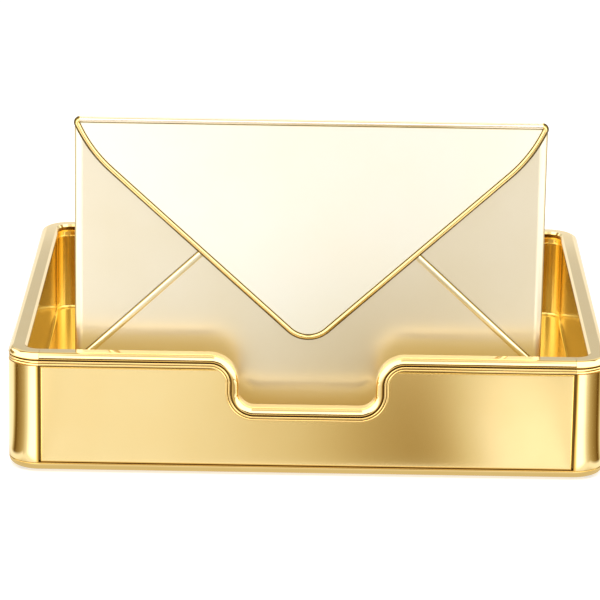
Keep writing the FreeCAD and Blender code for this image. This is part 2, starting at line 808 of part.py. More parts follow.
def make_seam_bead():
    """The raised bead along the bottom flap's upper edge."""
    piece = body("bottom_flap_bead")
    upper = seam_points("0")
    lower = seam_points("seam_bead_width")
    back = [
        lower[3],
        (lower[2][0], lower[2][1], lower[1][2], -1),
        (lower[1][0], lower[1][1]),
        lower[0],
    ]
    band = outline(piece, "band", "XZ_Plane", upper + back, f"0 - {BOTTOM_FACE}")
    pad(piece, "bead", band, "seam_bead_height")
    front = number(f"{BOTTOM_FACE} - seam_bead_height")

    def front_long(edge):
        box = edge.BoundBox
        level = abs(box.YMin - front) < NEAR and abs(box.YMax - front) < NEAR
        return level and box.XLength > size["seam_bead_width"]

    soften(piece, "Fillet", "round_top", "seam_bead_round", front_long)
    return keep(piece)


def make_side_flap(label, i):
    """A side flap: front plate with a slanting upper edge, round corner and side wall in one."""
    piece = body(label)
    half = "(envelope_width / 2)"
    inner_half = "(envelope_width / 2 - sheet_thickness)"
    foot = f"({ENVELOPE_FOOT} + sheet_thickness)"
    top = f"({ENVELOPE_TOP} - side_wall_drop)"
    corner = f"({SIDE_FACE} + side_round)"
    x = lambda formula: f"{i} * {formula}"
    section = [
        (x("side_flap_gap"), SIDE_FACE),
        (x(FLAT_HALF), SIDE_FACE, "side_round", i),
        (x(half), corner),
        (x(half), BACK_FACE),
        (x(inner_half), BACK_FACE),
        (x(inner_half), corner, "(side_round - sheet_thickness)", -i),
        (x(FLAT_HALF), POCKET_FACE),
        (x("side_flap_gap"), POCKET_FACE),
    ]
    plan = outline(piece, "section", "XY_Plane", section, foot)
    pad(piece, "sheet", plan, f"{top} - {foot}")
    low = f"({top} - ({FLAT_HALF} - side_flap_gap) * tan(side_flap_slope * 1 deg))"
    triangle = [(x("side_flap_gap"), low), (x(FLAT_HALF), top), (x("side_flap_gap"), top)]
    slant = outline(piece, "slant_outline", "XZ_Plane", triangle, f"0 - {SIDE_FACE}")
    cut(piece, "slant", slant, "sheet_thickness")
    return keep(piece)


KNUCKLE_OUT = "(envelope_width / 2 - knuckle_inset)"
KNUCKLE_IN = f"({KNUCKLE_OUT} - knuckle_length)"
BORE = "(hinge_pin_radius + hinge_play)"
AXIS = [(HINGE_DEPTH, HINGE_HEIGHT)]


def make_envelope_back():
    """The back plate, whose two top corners are rolled into hinge knuckles."""
    piece = body("envelope_back")
    half = "(envelope_width / 2)"
    low = f"({HINGE_HEIGHT} - hinge_radius - hinge_gap)"
    points = [
        (f"0 - {half}", ENVELOPE_FOOT),
        (half, ENVELOPE_FOOT),
        (half, low),
        (KNUCKLE_OUT, low),
        (KNUCKLE_OUT, HINGE_HEIGHT),
        (KNUCKLE_IN, HINGE_HEIGHT),
        (KNUCKLE_IN, low),
        (f"0 - {KNUCKLE_IN}", low),
        (f"0 - {KNUCKLE_IN}", HINGE_HEIGHT),
        (f"0 - {KNUCKLE_OUT}", HINGE_HEIGHT),
        (f"0 - {KNUCKLE_OUT}", low),
        (f"0 - {half}", low),
    ]
    face = outline(piece, "plate_outline", "XZ_Plane", points, f"0 - {BACK_REAR}")
    pad(piece, "plate", face, "back_thickness")
    for name, start in (("right", KNUCKLE_IN), ("left", f"0 - {KNUCKLE_OUT}")):
        disc = circles(piece, f"{name}_disc", "YZ_Plane", AXIS, "hinge_radius", start)
        pad(piece, f"{name}_knuckle", disc, "knuckle_length")
    bore = circles(piece, "bore_circle", "YZ_Plane", AXIS, BORE, half)
    cut(piece, "bore", bore, "envelope_width")
    return keep(piece)


def make_hinge_pin():
    """The pin through all the knuckles."""
    pin = doc.addObject("Part::Cylinder", "hinge_pin")
    pin.Label = "hinge_pin"
    turned = FreeCAD.Rotation(FreeCAD.Vector(0, 1, 0), 90)
    pin.Placement = FreeCAD.Placement(FreeCAD.Vector(), turned)
    pin.setExpression("Radius", s("hinge_pin_radius"))
    pin.setExpression("Height", s(f"2 * {KNUCKLE_OUT}"))
    pin.setExpression("Placement.Base.x", s(f"0 - {KNUCKLE_OUT}"))
    pin.setExpression("Placement.Base.y", s(HINGE_DEPTH))
    pin.setExpression("Placement.Base.z", s(HINGE_HEIGHT))
    return keep(pin)


make_envelope_back()
make_side_flap("left_side_flap", -1)
make_side_flap("right_side_flap", 1)
make_bottom_flap()
make_seam_bead()
make_hinge_pin()


# ---------------------------------------------------------------- flap
def flap_points(inset):
    """The flap's outline, set in by a distance, anticlockwise from the middle of the top.

    Small round top corners run into long shoulders, then straight slopes and a round tip.
    """
    slope = "(flap_slope * 1 deg)"
    turn = "(flap_shoulder_angle * 1 deg)"
    small = f"(flap_corner_radius - {inset})"
    x_corner = "(envelope_width / 2 - flap_corner_radius)"
    z_corner = f"({ENVELOPE_TOP} - flap_corner_radius)"
    step = "(flap_corner_radius - flap_shoulder_radius)"
    x_shoulder = f"({x_corner} + {step} * sin{turn})"
    z_shoulder = f"({z_corner} - {step} * cos{turn})"
    large = f"(flap_shoulder_radius - {inset})"
    x_slope = f"({x_shoulder} + flap_shoulder_radius * sin{slope})"
    z_slope = f"({z_shoulder} - flap_shoulder_radius * cos{slope})"
    z_tip = f"({z_slope} - {x_slope} * tan{slope} + flap_tip_radius / cos{slope})"
    tip = f"(flap_tip_radius - {inset})"
    right = [
        (f"{tip} * sin{slope}", f"{z_tip} - {tip} * cos{slope}"),
        (f"{x_shoulder} + {large} * sin{slope}", f"{z_shoulder} - {large} * cos{slope}"),
        (f"{x_corner} + {small} * sin{turn}", f"{z_corner} - {small} * cos{turn}"),
        (x_corner, f"{ENVELOPE_TOP} - {inset}"),
    ]
    left = [(f"0 - ({across})", high) for across, high in reversed(right)]
    return [
        ("0", f"{ENVELOPE_TOP} - {inset}"),
        (left[0][0], left[0][1], small, 1),
        (left[1][0], left[1][1], large, 1),
        left[2],
        (left[3][0], left[3][1], tip, 1),
        right[0],
        (right[1][0], right[1][1], large, 1),
        (right[2][0], right[2][1], small, 1),
        right[3],
    ]


def make_flap_panel():
    """The flap's plate, inside its bead."""
    piece = body("flap_panel")
    plan = outline(piece, "plate_outline", "XZ_Plane", flap_points("(2 * flap_bead_radius)"),
                   f"0 - {FLAP_REAR}")
    pad(piece, "plate", plan, "flap_thickness")
    return keep(piece)


def make_flap_bead():
    """The half-round bead that borders the flap all round."""
    piece = body("flap_edge_bead")
    path = outline(piece, "path", "XZ_Plane", flap_points("flap_bead_radius"),
                   f"0 - {FLAP_REAR}")
    high = f"({ENVELOPE_TOP} - flap_bead_radius)"
    half_round = [
        (FLAP_REAR, f"{high} + flap_bead_radius", "flap_bead_radius", 1),
        (BEAD_FACE, high, "flap_bead_radius", 1),
        (FLAP_REAR, f"{high} - flap_bead_radius"),
    ]
    section = outline(piece, "half_round", "YZ_Plane", half_round)
    bead = piece.newObject("PartDesign::AdditivePipe", "bead")
    bead.Profile = section
    bead.Spine = (path, [f"Edge{i}" for i in range(1, path.GeometryCount + 1)])
    bead.Mode = "Standard"
    doc.recompute()
    return keep(piece)


def make_hinge_leaf():
    """The leaf behind the flap's top edge, running back to its own long knuckle."""
    piece = body("hinge_leaf")
    top = f"({HINGE_HEIGHT} + hinge_radius)"
    half = f"({KNUCKLE_IN} - hinge_gap)"
    points = [
        (FLAP_REAR, f"{top} - leaf_height"),
        (f"{FLAP_REAR} + sheet_thickness", f"{top} - leaf_height"),
        (f"{FLAP_REAR} + sheet_thickness", f"{top} - sheet_thickness"),
        (HINGE_DEPTH, f"{top} - sheet_thickness"),
        (HINGE_DEPTH, top),
        (FLAP_REAR, top),
    ]
    section = outline(piece, "section", "YZ_Plane", points, f"0 - {half}")
    pad(piece, "leaf", section, f"2 * {half}")
    disc = circles(piece, "disc", "YZ_Plane", AXIS, "hinge_radius", f"0 - {half}")
    pad(piece, "knuckle", disc, f"2 * {half}")
    bore = circles(piece, "bore_circle", "YZ_Plane", AXIS, BORE, half)
    cut(piece, "bore", bore, f"2 * {half}")
    return keep(piece)


make_flap_panel()
make_flap_bead()
make_hinge_leaf()


# ---------------------------------------------------------------- check and write
doc.recompute()
for thing in doc.Objects:
    if "Invalid" in thing.State or "Error" in thing.State:
        raise RuntimeError(f"{thing.Label} failed: {thing.State}")
for node in NODES:
    shape = node.Shape
    if shape.isNull() or not shape.isValid() or not shape.Solids:
        raise RuntimeError(f"{node.Label} is not a valid solid")
    shape.exportStep(f"parts/{node.Label}.step")
    print(f"{node.Label}: {len(shape.Solids)} solid(s), {shape.Volume / 1000:.2f} cm3")
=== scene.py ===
import math

import bmesh
import bpy
import numpy as np
from mathutils import Matrix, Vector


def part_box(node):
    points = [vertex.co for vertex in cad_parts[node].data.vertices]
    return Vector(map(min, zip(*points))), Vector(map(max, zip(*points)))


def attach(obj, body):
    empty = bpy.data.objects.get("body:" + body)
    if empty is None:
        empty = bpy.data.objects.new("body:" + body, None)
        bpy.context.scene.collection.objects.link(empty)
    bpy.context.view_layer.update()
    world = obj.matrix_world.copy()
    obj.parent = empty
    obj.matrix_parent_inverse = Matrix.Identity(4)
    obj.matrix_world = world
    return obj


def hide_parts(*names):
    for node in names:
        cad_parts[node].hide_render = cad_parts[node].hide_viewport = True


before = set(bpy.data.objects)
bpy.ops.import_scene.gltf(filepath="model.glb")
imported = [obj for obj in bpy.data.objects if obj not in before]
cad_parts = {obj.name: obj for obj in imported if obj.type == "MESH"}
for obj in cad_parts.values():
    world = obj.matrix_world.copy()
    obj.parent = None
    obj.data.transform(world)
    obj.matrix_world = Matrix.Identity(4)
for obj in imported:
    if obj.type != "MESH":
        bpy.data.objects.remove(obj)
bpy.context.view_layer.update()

MM = 0.001


# ---------------------------------------------------------------- sizes, millimetres
def edges(node):
    """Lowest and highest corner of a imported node."""
    low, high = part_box(node)
    return np.array(low) / MM, np.array(high) / MM


RIM_LOW, RIM_HIGH = edges("rear_rim")
HALF_X, HALF_Y, RIM_TOP = RIM_HIGH
RIM_FOOT = RIM_LOW[2]
RIM_HEIGHT = RIM_TOP - RIM_FOOT
CORNER = HALF_X - edges("front_rim")[1][0]
RIM_WIDTH = 10.5
RIM_NOSE = 3.6
# Two fine beads run below the nose, each a step behind it, with a valley beside each.
RIM_STEP = 0.5
RIM_BEAD = 1.25
RIM_VALLEY = 0.2
# Under its nose the rim's face is cut back by a shadow groove.
RIM_GROOVE = 1.3
RIM_UNDER = 0.3
# The lip stands over the liner, and the bar's inner top edge is chamfered.
RIM_LIP = 3.2
RIM_EDGE = 1.4
# A dark line of painted shade runs round the shoulder of the nose: its angle, half its width,
# both in degrees, and how dark it is painted.
RIM_SHADE_LINE = 62
SHADE_LINE_HALF = 3
SHADE_LINE_WEIGHT = 0.5
# Painted shade starts this share of the way down the nose, and on the fine beads this share of
# the step behind the nose's face.
NOSE_SHADE_START = 0.88
BEAD_SHADE_START = 0.35
# Half the hairline where the front bar of the rim butts against the bow.
RIM_SEAM = 0.08

# The finger notch, along the middle of the rim bar.
NOTCH_HALF = 41.6
NOTCH_BEND = 12.5
NOTCH_DEPTH = RIM_FOOT - edges("front_rim")[0][2]

BASE_HIGH = edges("base_frame")[1]
# How dark the painted shade on the base moulding's ledge is.
LEDGE_SHADE = 0.8
PANEL_FRONT = -edges("front_panel")[0][1]
PANEL_RECESS = HALF_Y - PANEL_FRONT
PANEL_THICK = 2.0
# The panels' rounded edges, darkened by painted shade, leave a dark shadow line all round.
PANEL_EASE = 0.8
PANEL_GAP = 0.1
PANEL_HALF_X = edges("front_panel")[1][0] - PANEL_GAP
PANEL_HALF_Y = edges("left_panel")[1][1] - PANEL_GAP
POST_THICK = 7.3
POST_TONGUE = 6.0
POST_EASE = 1.0
# How far painted shade reaches on the post beside its joint with a panel.
POST_SHADE_REACH = 1.6

LINER_LOW, LINER_HIGH = edges("inner_liner")
LINER_INSET = HALF_X - LINER_HIGH[0]
LINER_THICK = 1.5
LINER_FOOT = 1.6

# The envelope: its sheets, their slanting edges in degrees, and the bead on the seam.
BACK_LOW, BACK_HIGH = edges("envelope_back")
ENVELOPE_HALF = BACK_HIGH[0]
ENVELOPE_FOOT = BACK_LOW[2]
BACK_FACE = BACK_LOW[1]
BACK_THICK = 1.0
SHEET = 0.8
BOTTOM_FACE = edges("bottom_flap")[0][1]
SIDE_LOW, SIDE_HIGH = edges("right_side_flap")
SIDE_ROUND = 4.8
SIDE_GAP = SIDE_LOW[0]
SIDE_SLOPE = 27.0
FLAT_HALF = ENVELOPE_HALF - SIDE_ROUND
SEAM_SLOPE = 42.9
SEAM_ROUND = 60.0
SEAM_RADIUS = 1.7
SEAM_RISE = 0.5
SEAM_MARGIN = 0.5
# Shares of a wire's radius past which painted shade darkens it, right and left of its way;
# past 1 it stays unshaded.  DARK_BLEND is the share over which the painted dark sets in.
SEAM_UNSHADED = (0.8, 1.5)
BEAD_UNSHADED = (0.45, 0.7)
DARK_BLEND = 0.2
# The light painted shade on the flap's wire, and how much of all painted shade is left along
# the flap's level top, which is painted lighter: that lighter stretch ends where the path's way
# climbs by more than the slope.
BEAD_SHADE = 0.38
TOP_SHADE = 0.06
TOP_SLOPE = 0.3
# Round a side flap's corner painted shade sets in between these turns in degrees.
SIDE_TURNS = (54, 66)
SIDE_SHADE = 0.7

# The flap, and the wire that borders it.
BEAD_HIGH = edges("flap_edge_bead")[1]
FLAP_TOP = BEAD_HIGH[2]
FLAP_REAR = BEAD_HIGH[1]
BEAD_RADIUS = 1.35
BEAD_MARGIN = 0.55
BEAD_LIFT = 0.7
BEAD_GROOVE = 0.2
FLAP_THICK = 1.0
FLAP_SLOPE = 42.3
SHOULDER_RADIUS = 78.6
SHOULDER_ANGLE = 66.0
FLAP_CORNER = 3.6
FLAP_TIP = 17.3

# The hinge behind the flap's top edge.
PIN_LOW, PIN_HIGH = edges("hinge_pin")
HINGE_Y = (PIN_LOW[1] + PIN_HIGH[1]) / 2
HINGE_Z = (PIN_LOW[2] + PIN_HIGH[2]) / 2
HINGE_RADIUS = 1.9
HINGE_BORE = 0.85
# The envelope's knuckles lie between these distances from the middle.
KNUCKLE_IN = 112.0
KNUCKLE_OUT = ENVELOPE_HALF - 2.0
# The back plate stops this far below the knuckles.  A tab runs up to each from inside the
# plate, sunk a little behind both its faces.
KNUCKLE_GAP = 0.4
TAB_LAP = 1.0
TAB_SUNK = 0.1
LEAF_HALF = edges("hinge_leaf")[1][0]
LEAF_FOOT = edges("hinge_leaf")[0][2]

# A hair: two places nearer than this are the same place.
NEAR = 0.01

# Sheet edges are eased by a file or by tumbling, never knife-sharp.
EASE = 0.25
FINE_EASE = 0.12


# ---------------------------------------------------------------- flat paths
# A path is an array of rows (x, y, way x, way y): points with the unit way along the path.
# A guard point this close to each end of a straight stretch, or a quarter of the way along a
# short one, keeps it shaded flat.
GUARD = 0.5
ARC_POINTS = 25
SMALL_ARC_POINTS = 7
KNUCKLE_POINTS = 49
PAD_POINTS = 65


def line(start, end):
    """A straight stretch, with a guard point close to each end."""
    start = np.array(start, float)
    end = np.array(end, float)
    length = np.linalg.norm(end - start)
    near = min(GUARD / length, 0.25)
    share = np.array([0, near, 1 - near, 1])[:, None]
    points = start + (end - start) * share
    return np.hstack([points, np.tile((end - start) / length, (len(share), 1))])


def arc(centre, radius, first, last, count=ARC_POINTS):
    """A stretch of a circle about centre, from angle first to angle last in degrees."""
    turn = np.radians(np.linspace(first, last, count))
    out = np.stack([np.cos(turn), np.sin(turn)], axis=1)
    way = np.stack([-out[:, 1], out[:, 0]], axis=1) * np.sign(last - first)
    return np.hstack([np.array(centre, float) + radius * out, way])


def chain(*stretches):
    """Stretches joined end to end, each shared point kept once."""
    return np.vstack([stretches[0]] + [stretch[1:] for stretch in stretches[1:]])


def closed(*stretches):
    """Stretches joined into a ring, without the repeated last point."""
    return chain(*stretches)[:-1]


def left_of(path):
    """Unit normals to the left of the way along a path."""
    return np.stack([-path[:, 3], path[:, 2]], axis=1)


def eased(corners):
    """A closed outline through corners (x, y, radius), each rounded by an arc of its radius.

    At a corner the arc starts radius * tan(half the turn) before it, and its centre lies on
    the side that the outline turns to.
    """
    spots = np.array([corner[:2] for corner in corners], float)
    radii = np.array([corner[2] for corner in corners], float)
    ways = np.roll(spots, -1, axis=0) - spots
    ways /= np.linalg.norm(ways, axis=1)[:, None]
    before = np.roll(ways, 1, axis=0)
    cross = before[:, 0] * ways[:, 1] - before[:, 1] * ways[:, 0]
    turns = np.arctan2(cross, (before * ways).sum(axis=1))
    cut = radii * np.tan(np.abs(turns) / 2)
    starts = spots - before * cut[:, None]
    side = np.sign(turns)
    centres = starts + np.stack([-before[:, 1], before[:, 0]], axis=1) * (side * radii)[:, None]
    stretches = []
    for k in range(len(corners)):
        out = starts[k] - centres[k]
        first = math.degrees(math.atan2(out[1], out[0]))
        stretches.append(arc(centres[k], radii[k], first, first + math.degrees(turns[k]),
                             SMALL_ARC_POINTS))
        leave = spots[k] + ways[k] * cut[k]
        arrive = starts[(k + 1) % len(corners)]
        stretches.append(line(leave, arrive))
    return closed(*stretches)


def rectangle(left, right, low, high, radius=EASE):
    """A rectangle's outline, its four corners rounded."""
    return eased([(left, low, radius), (right, low, radius),
                  (right, high, radius), (left, high, radius)])


def below(top, low):
    """A sheet's outline: its top edge, from right to left, over a level foot at low."""
    left = (top[-1, 0], low)
    right = (top[0, 0], low)
    return closed(line(left, right), line(right, top[0, :2]), top, line(top[-1, :2], left))


# ---------------------------------------------------------------- shells
def grid_faces(rows, columns, along):
    """Corner numbers of a tube's faces: columns close round it, and along closes the rows too."""
    row = np.arange(rows if along else rows - 1)[:, None]
    column = np.arange(columns)[None, :]
    after = (column + 1) % columns
    above = (row + 1) % rows
    here = row * columns
    there = above * columns
    corners = [here + column, here + after, there + after, there + column]
    return np.stack(np.broadcast_arrays(*corners), axis=-1).reshape(-1, 4)


def shell(grid, along=False, painted_shade=0.0):
    """A surface from a grid of points (rows, columns, 3), its open ends closed by flat caps.

    The last argument, from 0 to 1 at each point, is how much painted shade darkens it there.
    """
    rows, columns, _ = grid.shape
    points = grid.reshape(-1, 3)
    faces = grid_faces(rows, columns, along)
    ends = []
    if not along:
        ends = [np.arange(columns)[::-1], np.arange((rows - 1) * columns, rows * columns)]
    corner = points[faces]
    halves = [corner[:, [0, 1, 2]], corner[:, [0, 2, 3]]]
    for end in ends:
        fan = np.stack([np.full(len(end) - 2, end[0]), end[1:-1], end[2:]], axis=1)
        halves.append(points[fan])
    volume = sum((half[:, 0] * np.cross(half[:, 1], half[:, 2])).sum() for half in halves)
    loops = faces.tolist() + [end.tolist() for end in ends]
    if volume < 0:
        loops = [loop[::-1] for loop in loops]
    return points, loops, np.broadcast_to(painted_shade, (rows, columns)).ravel()


def carried(place, across, up, profile, along=False, painted_shade=0.0):
    """A closed profile carried along a path: point = place + across * profile x + up * profile y.

    The profile is (points, 2), or (places, points, 2) where it changes along the path.
    """
    first = profile[..., 0:1]
    second = profile[..., 1:2]
    grid = place[:, None, :] + across[:, None, :] * first + up[:, None, :] * second
    return shell(grid, along, painted_shade)


# A plate's rings, numbered from the flat of its low face, over both edges, to its high one.
RINGS = np.arange(2 * SMALL_ARC_POINTS + 2)[:, None]
# Painted shade is full over this share of an eased edge, and leaves this much where the flat
# begins.
DARK_EASE = 0.4
FLAT_SHADE = 0.2


def plate(outline, lift, low, high, ease=EASE, painted_shade=None):
    """A flat plate: its closed outline raised from low to high, both edges rounded by ease.

    Ring after ring, the outline is set in by ease * (1 - sin t) and stands ease * (1 - cos t)
    inside the face, as t goes from 0 to a quarter turn; a further ring guards each flat face.
    No ring may leave the outline's own bounds set in by as much, so that sharp corners stay
    mitred.  lift(flat points, height) puts the flat points into space.  Unless other weights are
    given, painted shade darkens an eased edge and thins out over the guard ring beside it.
    """
    turn = np.linspace(0, math.pi / 2, SMALL_ARC_POINTS)
    inset = ease * (1 - np.sin(turn))
    depth = ease * (1 - np.cos(turn))
    insets = np.concatenate([[ease + GUARD], inset, inset[::-1], [ease + GUARD]])
    heights = np.concatenate([[low], low + depth, high - depth[::-1], [high]])
    inwards = left_of(outline)
    middle = outline[:, :2].mean(axis=0)
    if ((middle - outline[:, :2]) * inwards).sum() < 0:
        inwards = -inwards
    least = outline[:, :2].min(axis=0)
    most = outline[:, :2].max(axis=0)
    rings = [lift(np.clip(outline[:, :2] + inwards * step, least + step, most - step), height)
             for step, height in zip(insets, heights)]
    if painted_shade is None:
        painted_shade = np.interp(insets, [DARK_EASE * ease, ease, ease + GUARD],
                            [1, FLAT_SHADE, 0])[:, None]
    return shell(np.stack(rings), painted_shade=painted_shade)


def facing_front(flat, height):
    """Flat (x, z) points at the depth y = -height, so a larger height is nearer the front."""
    return np.stack([flat[:, 0], np.full(len(flat), -height), flat[:, 1]], axis=1)


def facing_back(flat, height):
    """Flat (x, z) points at the depth y = height."""
    return np.stack([flat[:, 0], np.full(len(flat), height), flat[:, 1]], axis=1)


def facing_right(flat, height):
    """Flat (y, z) points at x = height."""
    return np.stack([np.full(len(flat), height), flat[:, 0], flat[:, 1]], axis=1)


def lying(flat, height):
    """Flat (x, y) points at a level z = height."""
    return np.stack([flat[:, 0], flat[:, 1], np.full(len(flat), height)], axis=1)


def mirrored(part):
    """A shell mirrored about the plane x = 0, its faces turned to point outwards again."""
    points, loops, painted_shade = part
    return points * np.array([-1, 1, 1]), [loop[::-1] for loop in loops], painted_shade


# Edges sharper than this stay sharp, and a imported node's points this near are welded (metres).
SHARP = math.radians(35)
WELD = 1e-6


def paint_shade(mesh, painted_shade):
    """Writes the weights of painted shade into the mesh for its material to read."""
    layer = mesh.attributes.new("painted_shade", "FLOAT", "POINT")
    layer.data.foreach_set("value", np.asarray(painted_shade, np.float32))


def finished(mesh, node, body, material):
    """A piece from its mesh, smooth except over sharp edges, that rides on its body."""
    mesh.shade_smooth()
    mesh.set_sharp_from_angle(angle=SHARP)
    mesh.materials.clear()
    mesh.materials.append(material)
    piece = bpy.data.objects.new(mesh.name, mesh)
    bpy.context.scene.collection.objects.link(piece)
    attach(piece, body)
    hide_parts(node)


def make(name, parts, node, body, material):
    """A piece from its shells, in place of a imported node."""
    points = []
    loops = []
    weights = []
    count = 0
    for part, faces, painted_shade in parts:
        points.append(part)
        weights.append(painted_shade)
        loops += [[corner + count for corner in face] for face in faces]
        count += len(part)
    mesh = bpy.data.meshes.new(name)
    mesh.from_pydata((np.vstack(points) * MM).tolist(), [], loops)
    paint_shade(mesh, np.concatenate(weights))
    finished(mesh, node, body, material)


def dressed(name, node, body, slot, material, painted_shade=None):
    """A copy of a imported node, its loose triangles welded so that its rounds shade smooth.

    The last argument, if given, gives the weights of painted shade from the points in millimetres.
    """
    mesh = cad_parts[node].data.copy()
    mesh.name = name
    work = bmesh.new()
    work.from_mesh(mesh)
    bmesh.ops.remove_doubles(work, verts=work.verts, dist=WELD)
    work.to_mesh(mesh)
    work.free()
    if painted_shade:
        points = np.empty(len(mesh.vertices) * 3)
        mesh.vertices.foreach_get("co", points)
        paint_shade(mesh, painted_shade(points.reshape(-1, 3) / MM))
    finished(mesh, node, body, material)


# ---------------------------------------------------------------- materials
def linear(code):
    """Linear red, green, blue and alpha from an sRGB hex code such as "f0c674"."""
    channels = np.array([int(code[k:k + 2], 16) for k in (0, 2, 4)]) / 255
    low = channels / 12.92
    high = ((channels + 0.055) / 1.055) ** 2.4
    return (*np.where(channels <= 0.04045, low, high), 1.0)


def add(tree, kind, inputs=None, **settings):
    """A shader node with its settings, and its inputs set to a value or linked to a socket."""
    made = tree.nodes.new(kind)
    for key, value in settings.items():
        setattr(made, key, value)
    for key, value in (inputs or {}).items():
        if isinstance(value, bpy.types.NodeSocket):
            tree.links.new(value, made.inputs[key])
        else:
            made.inputs[key].default_value = value
    return made


def fresh(name):
    """A new material with an empty node tree."""
    material = bpy.data.materials.new(name)
    material.use_nodes = True
    material.node_tree.nodes.clear()
    return material, material.node_tree


# Sockets of a Mix node that mixes colours: its two colours and its result.
COLOUR_A = 6
COLOUR_B = 7
COLOUR_OUT = 2
# Light painted shade tints the metal by this colour, up to this weight; heavier painted
# shade goes over to each metal's own dark colour.
PAINTED_SHADE_TINT = "ffe9ac"
THIN = 0.3


def metal(name, pale, deep, rough, grain_mm, grain_way, grain_rise, cloud_mm, painted_shade_colour):
    """A plated metal whose colour runs between pale and deep in soft clouds.

    rough is the least and greatest roughness.  grain_mm is the spacing of the polishing or
    brushing lines, grain_way how much longer than that they are along X, Y and Z, grain_rise
    their height, and cloud_mm the size of the clouds that handling and plating leave.  The last
    colour is the painted shade, laid where the weight of painted shade nears 1.
    """
    material, tree = fresh(name)
    place = add(tree, "ShaderNodeTexCoord").outputs["Object"]
    stretch = add(tree, "ShaderNodeMapping",
                  {"Vector": place, "Scale": [1 / way for way in grain_way]})
    grain = add(tree, "ShaderNodeTexNoise",
                {"Vector": stretch.outputs[0], "Scale": 1 / (grain_mm * MM), "Detail": 3.0})
    cloud = add(tree, "ShaderNodeTexNoise",
                {"Vector": place, "Scale": 1 / (cloud_mm * MM), "Detail": 4.0})
    tone = add(tree, "ShaderNodeMix", {"Factor": cloud.outputs["Fac"], COLOUR_A: linear(pale),
                                       COLOUR_B: linear(deep)}, data_type="RGBA")
    # The weight of painted shade: up to THIN it tints the metal, beyond it the colour goes over to
    # the painted shade colour.
    painted_shade = add(tree, "ShaderNodeAttribute", attribute_name="painted_shade").outputs["Fac"]
    thin = add(tree, "ShaderNodeMapRange", {"Value": painted_shade, "From Max": THIN})
    thick = add(tree, "ShaderNodeMapRange", {"Value": painted_shade, "From Min": THIN})
    amber = add(tree, "ShaderNodeMix",
                {"Factor": thin.outputs[0], COLOUR_A: tone.outputs[COLOUR_OUT],
                 COLOUR_B: linear(PAINTED_SHADE_TINT)}, data_type="RGBA", blend_type="MULTIPLY")
    shade_coat = add(tree, "ShaderNodeMix",
               {"Factor": thick.outputs[0], COLOUR_A: amber.outputs[COLOUR_OUT],
                COLOUR_B: linear(painted_shade_colour)}, data_type="RGBA")
    both = add(tree, "ShaderNodeMath", {0: grain.outputs["Fac"], 1: cloud.outputs["Fac"]},
               operation="ADD")
    # Together the two run from 0 to 2.
    dull = add(tree, "ShaderNodeMapRange", {"Value": both.outputs[0], "From Max": 2.0,
                                            "To Min": rough[0], "To Max": rough[1]})
    bump = add(tree, "ShaderNodeBump", {"Height": grain.outputs["Fac"],
                                        "Distance": grain_rise * MM})
    skin = add(tree, "ShaderNodeBsdfPrincipled",
               {"Base Color": shade_coat.outputs[COLOUR_OUT], "Metallic": 1.0,
                "Roughness": dull.outputs[0], "Normal": bump.outputs[0]})
    add(tree, "ShaderNodeOutputMaterial", {"Surface": skin.outputs[0]})
    return material


# Each metal's last colour is its painted shade, laid over its edges, grooves and joints.
# Bright gold electroplate over a polished bar: mirror-like, with faint wiping marks.
POLISHED_GOLD = metal("polished_gold_plate", "ffe5a8", "fadc98", (0.05, 0.11),
                      0.6, (6, 6, 1), 0.0006, 22, "7c5d2c")
# Gold plate brushed along the tray's faces: broad soft glare with a fine level grain.
SATIN_GOLD = metal("satin_brushed_gold", "ffe6a8", "fbdc98", (0.17, 0.24),
                   0.35, (30, 30, 1), 0.003, 35, "a5843f")
# The drawn inner tray, lacquered a deeper amber gold and buffed bright.
AMBER_GOLD = metal("amber_lacquered_gold", "ebcf7c", "dfbf62", (0.13, 0.2),
                   0.5, (4, 4, 1), 0.001, 25, "5f4518")
# Pale champagne anodised sheet with a fine pearly blast, in two copies: the flap's is painted
# nearly white as painted light, and the envelope's body's is a shade deeper and glossier.
CHAMPAGNE_FLAP = metal("champagne_satin_flap", "fffdf2", "fff9e6", (0.34, 0.42),
                       0.4, (1, 1, 1), 0.002, 45, "5e4c1e")
CHAMPAGNE_BODY = metal("champagne_satin_body", "f0e6d0", "e8dcbe", (0.3, 0.38),
                       0.4, (1, 1, 1), 0.002, 40, "5e4c1e")
# Drawn gold wire round the flap: a bright line of light between two dark lines of painted shade.
BEAD_GOLD = metal("drawn_gold_wire", "fff6e4", "fdf0d8", (0.1, 0.18),
                  0.5, (4, 4, 1), 0.0008, 20, "75602a")
# The same wire in a paler plate along the seam: soft, with one dark line of painted shade above it.
PALE_BEAD = metal("pale_gold_wire", "ece0c2", "e6d8b2", (0.26, 0.34),
                  0.5, (4, 4, 1), 0.0008, 20, "6a5420")
# Galvanised sheet under the base: matt grey zinc with broad dull clouds.
PLATE_METAL = metal("galvanised_plate", "c9c8c4", "aeb0b0", (0.35, 0.5),
                    3.0, (1, 1, 1), 0.004, 12, "77756f")
# Zinc-plated steel of the screws and the hinge pin: light grey, half bright.
SCREW_STEEL = metal("zinc_plated_steel", "cfcdc8", "b9b8b4", (0.22, 0.34),
                    0.4, (1, 1, 1), 0.002, 4, "77756f")


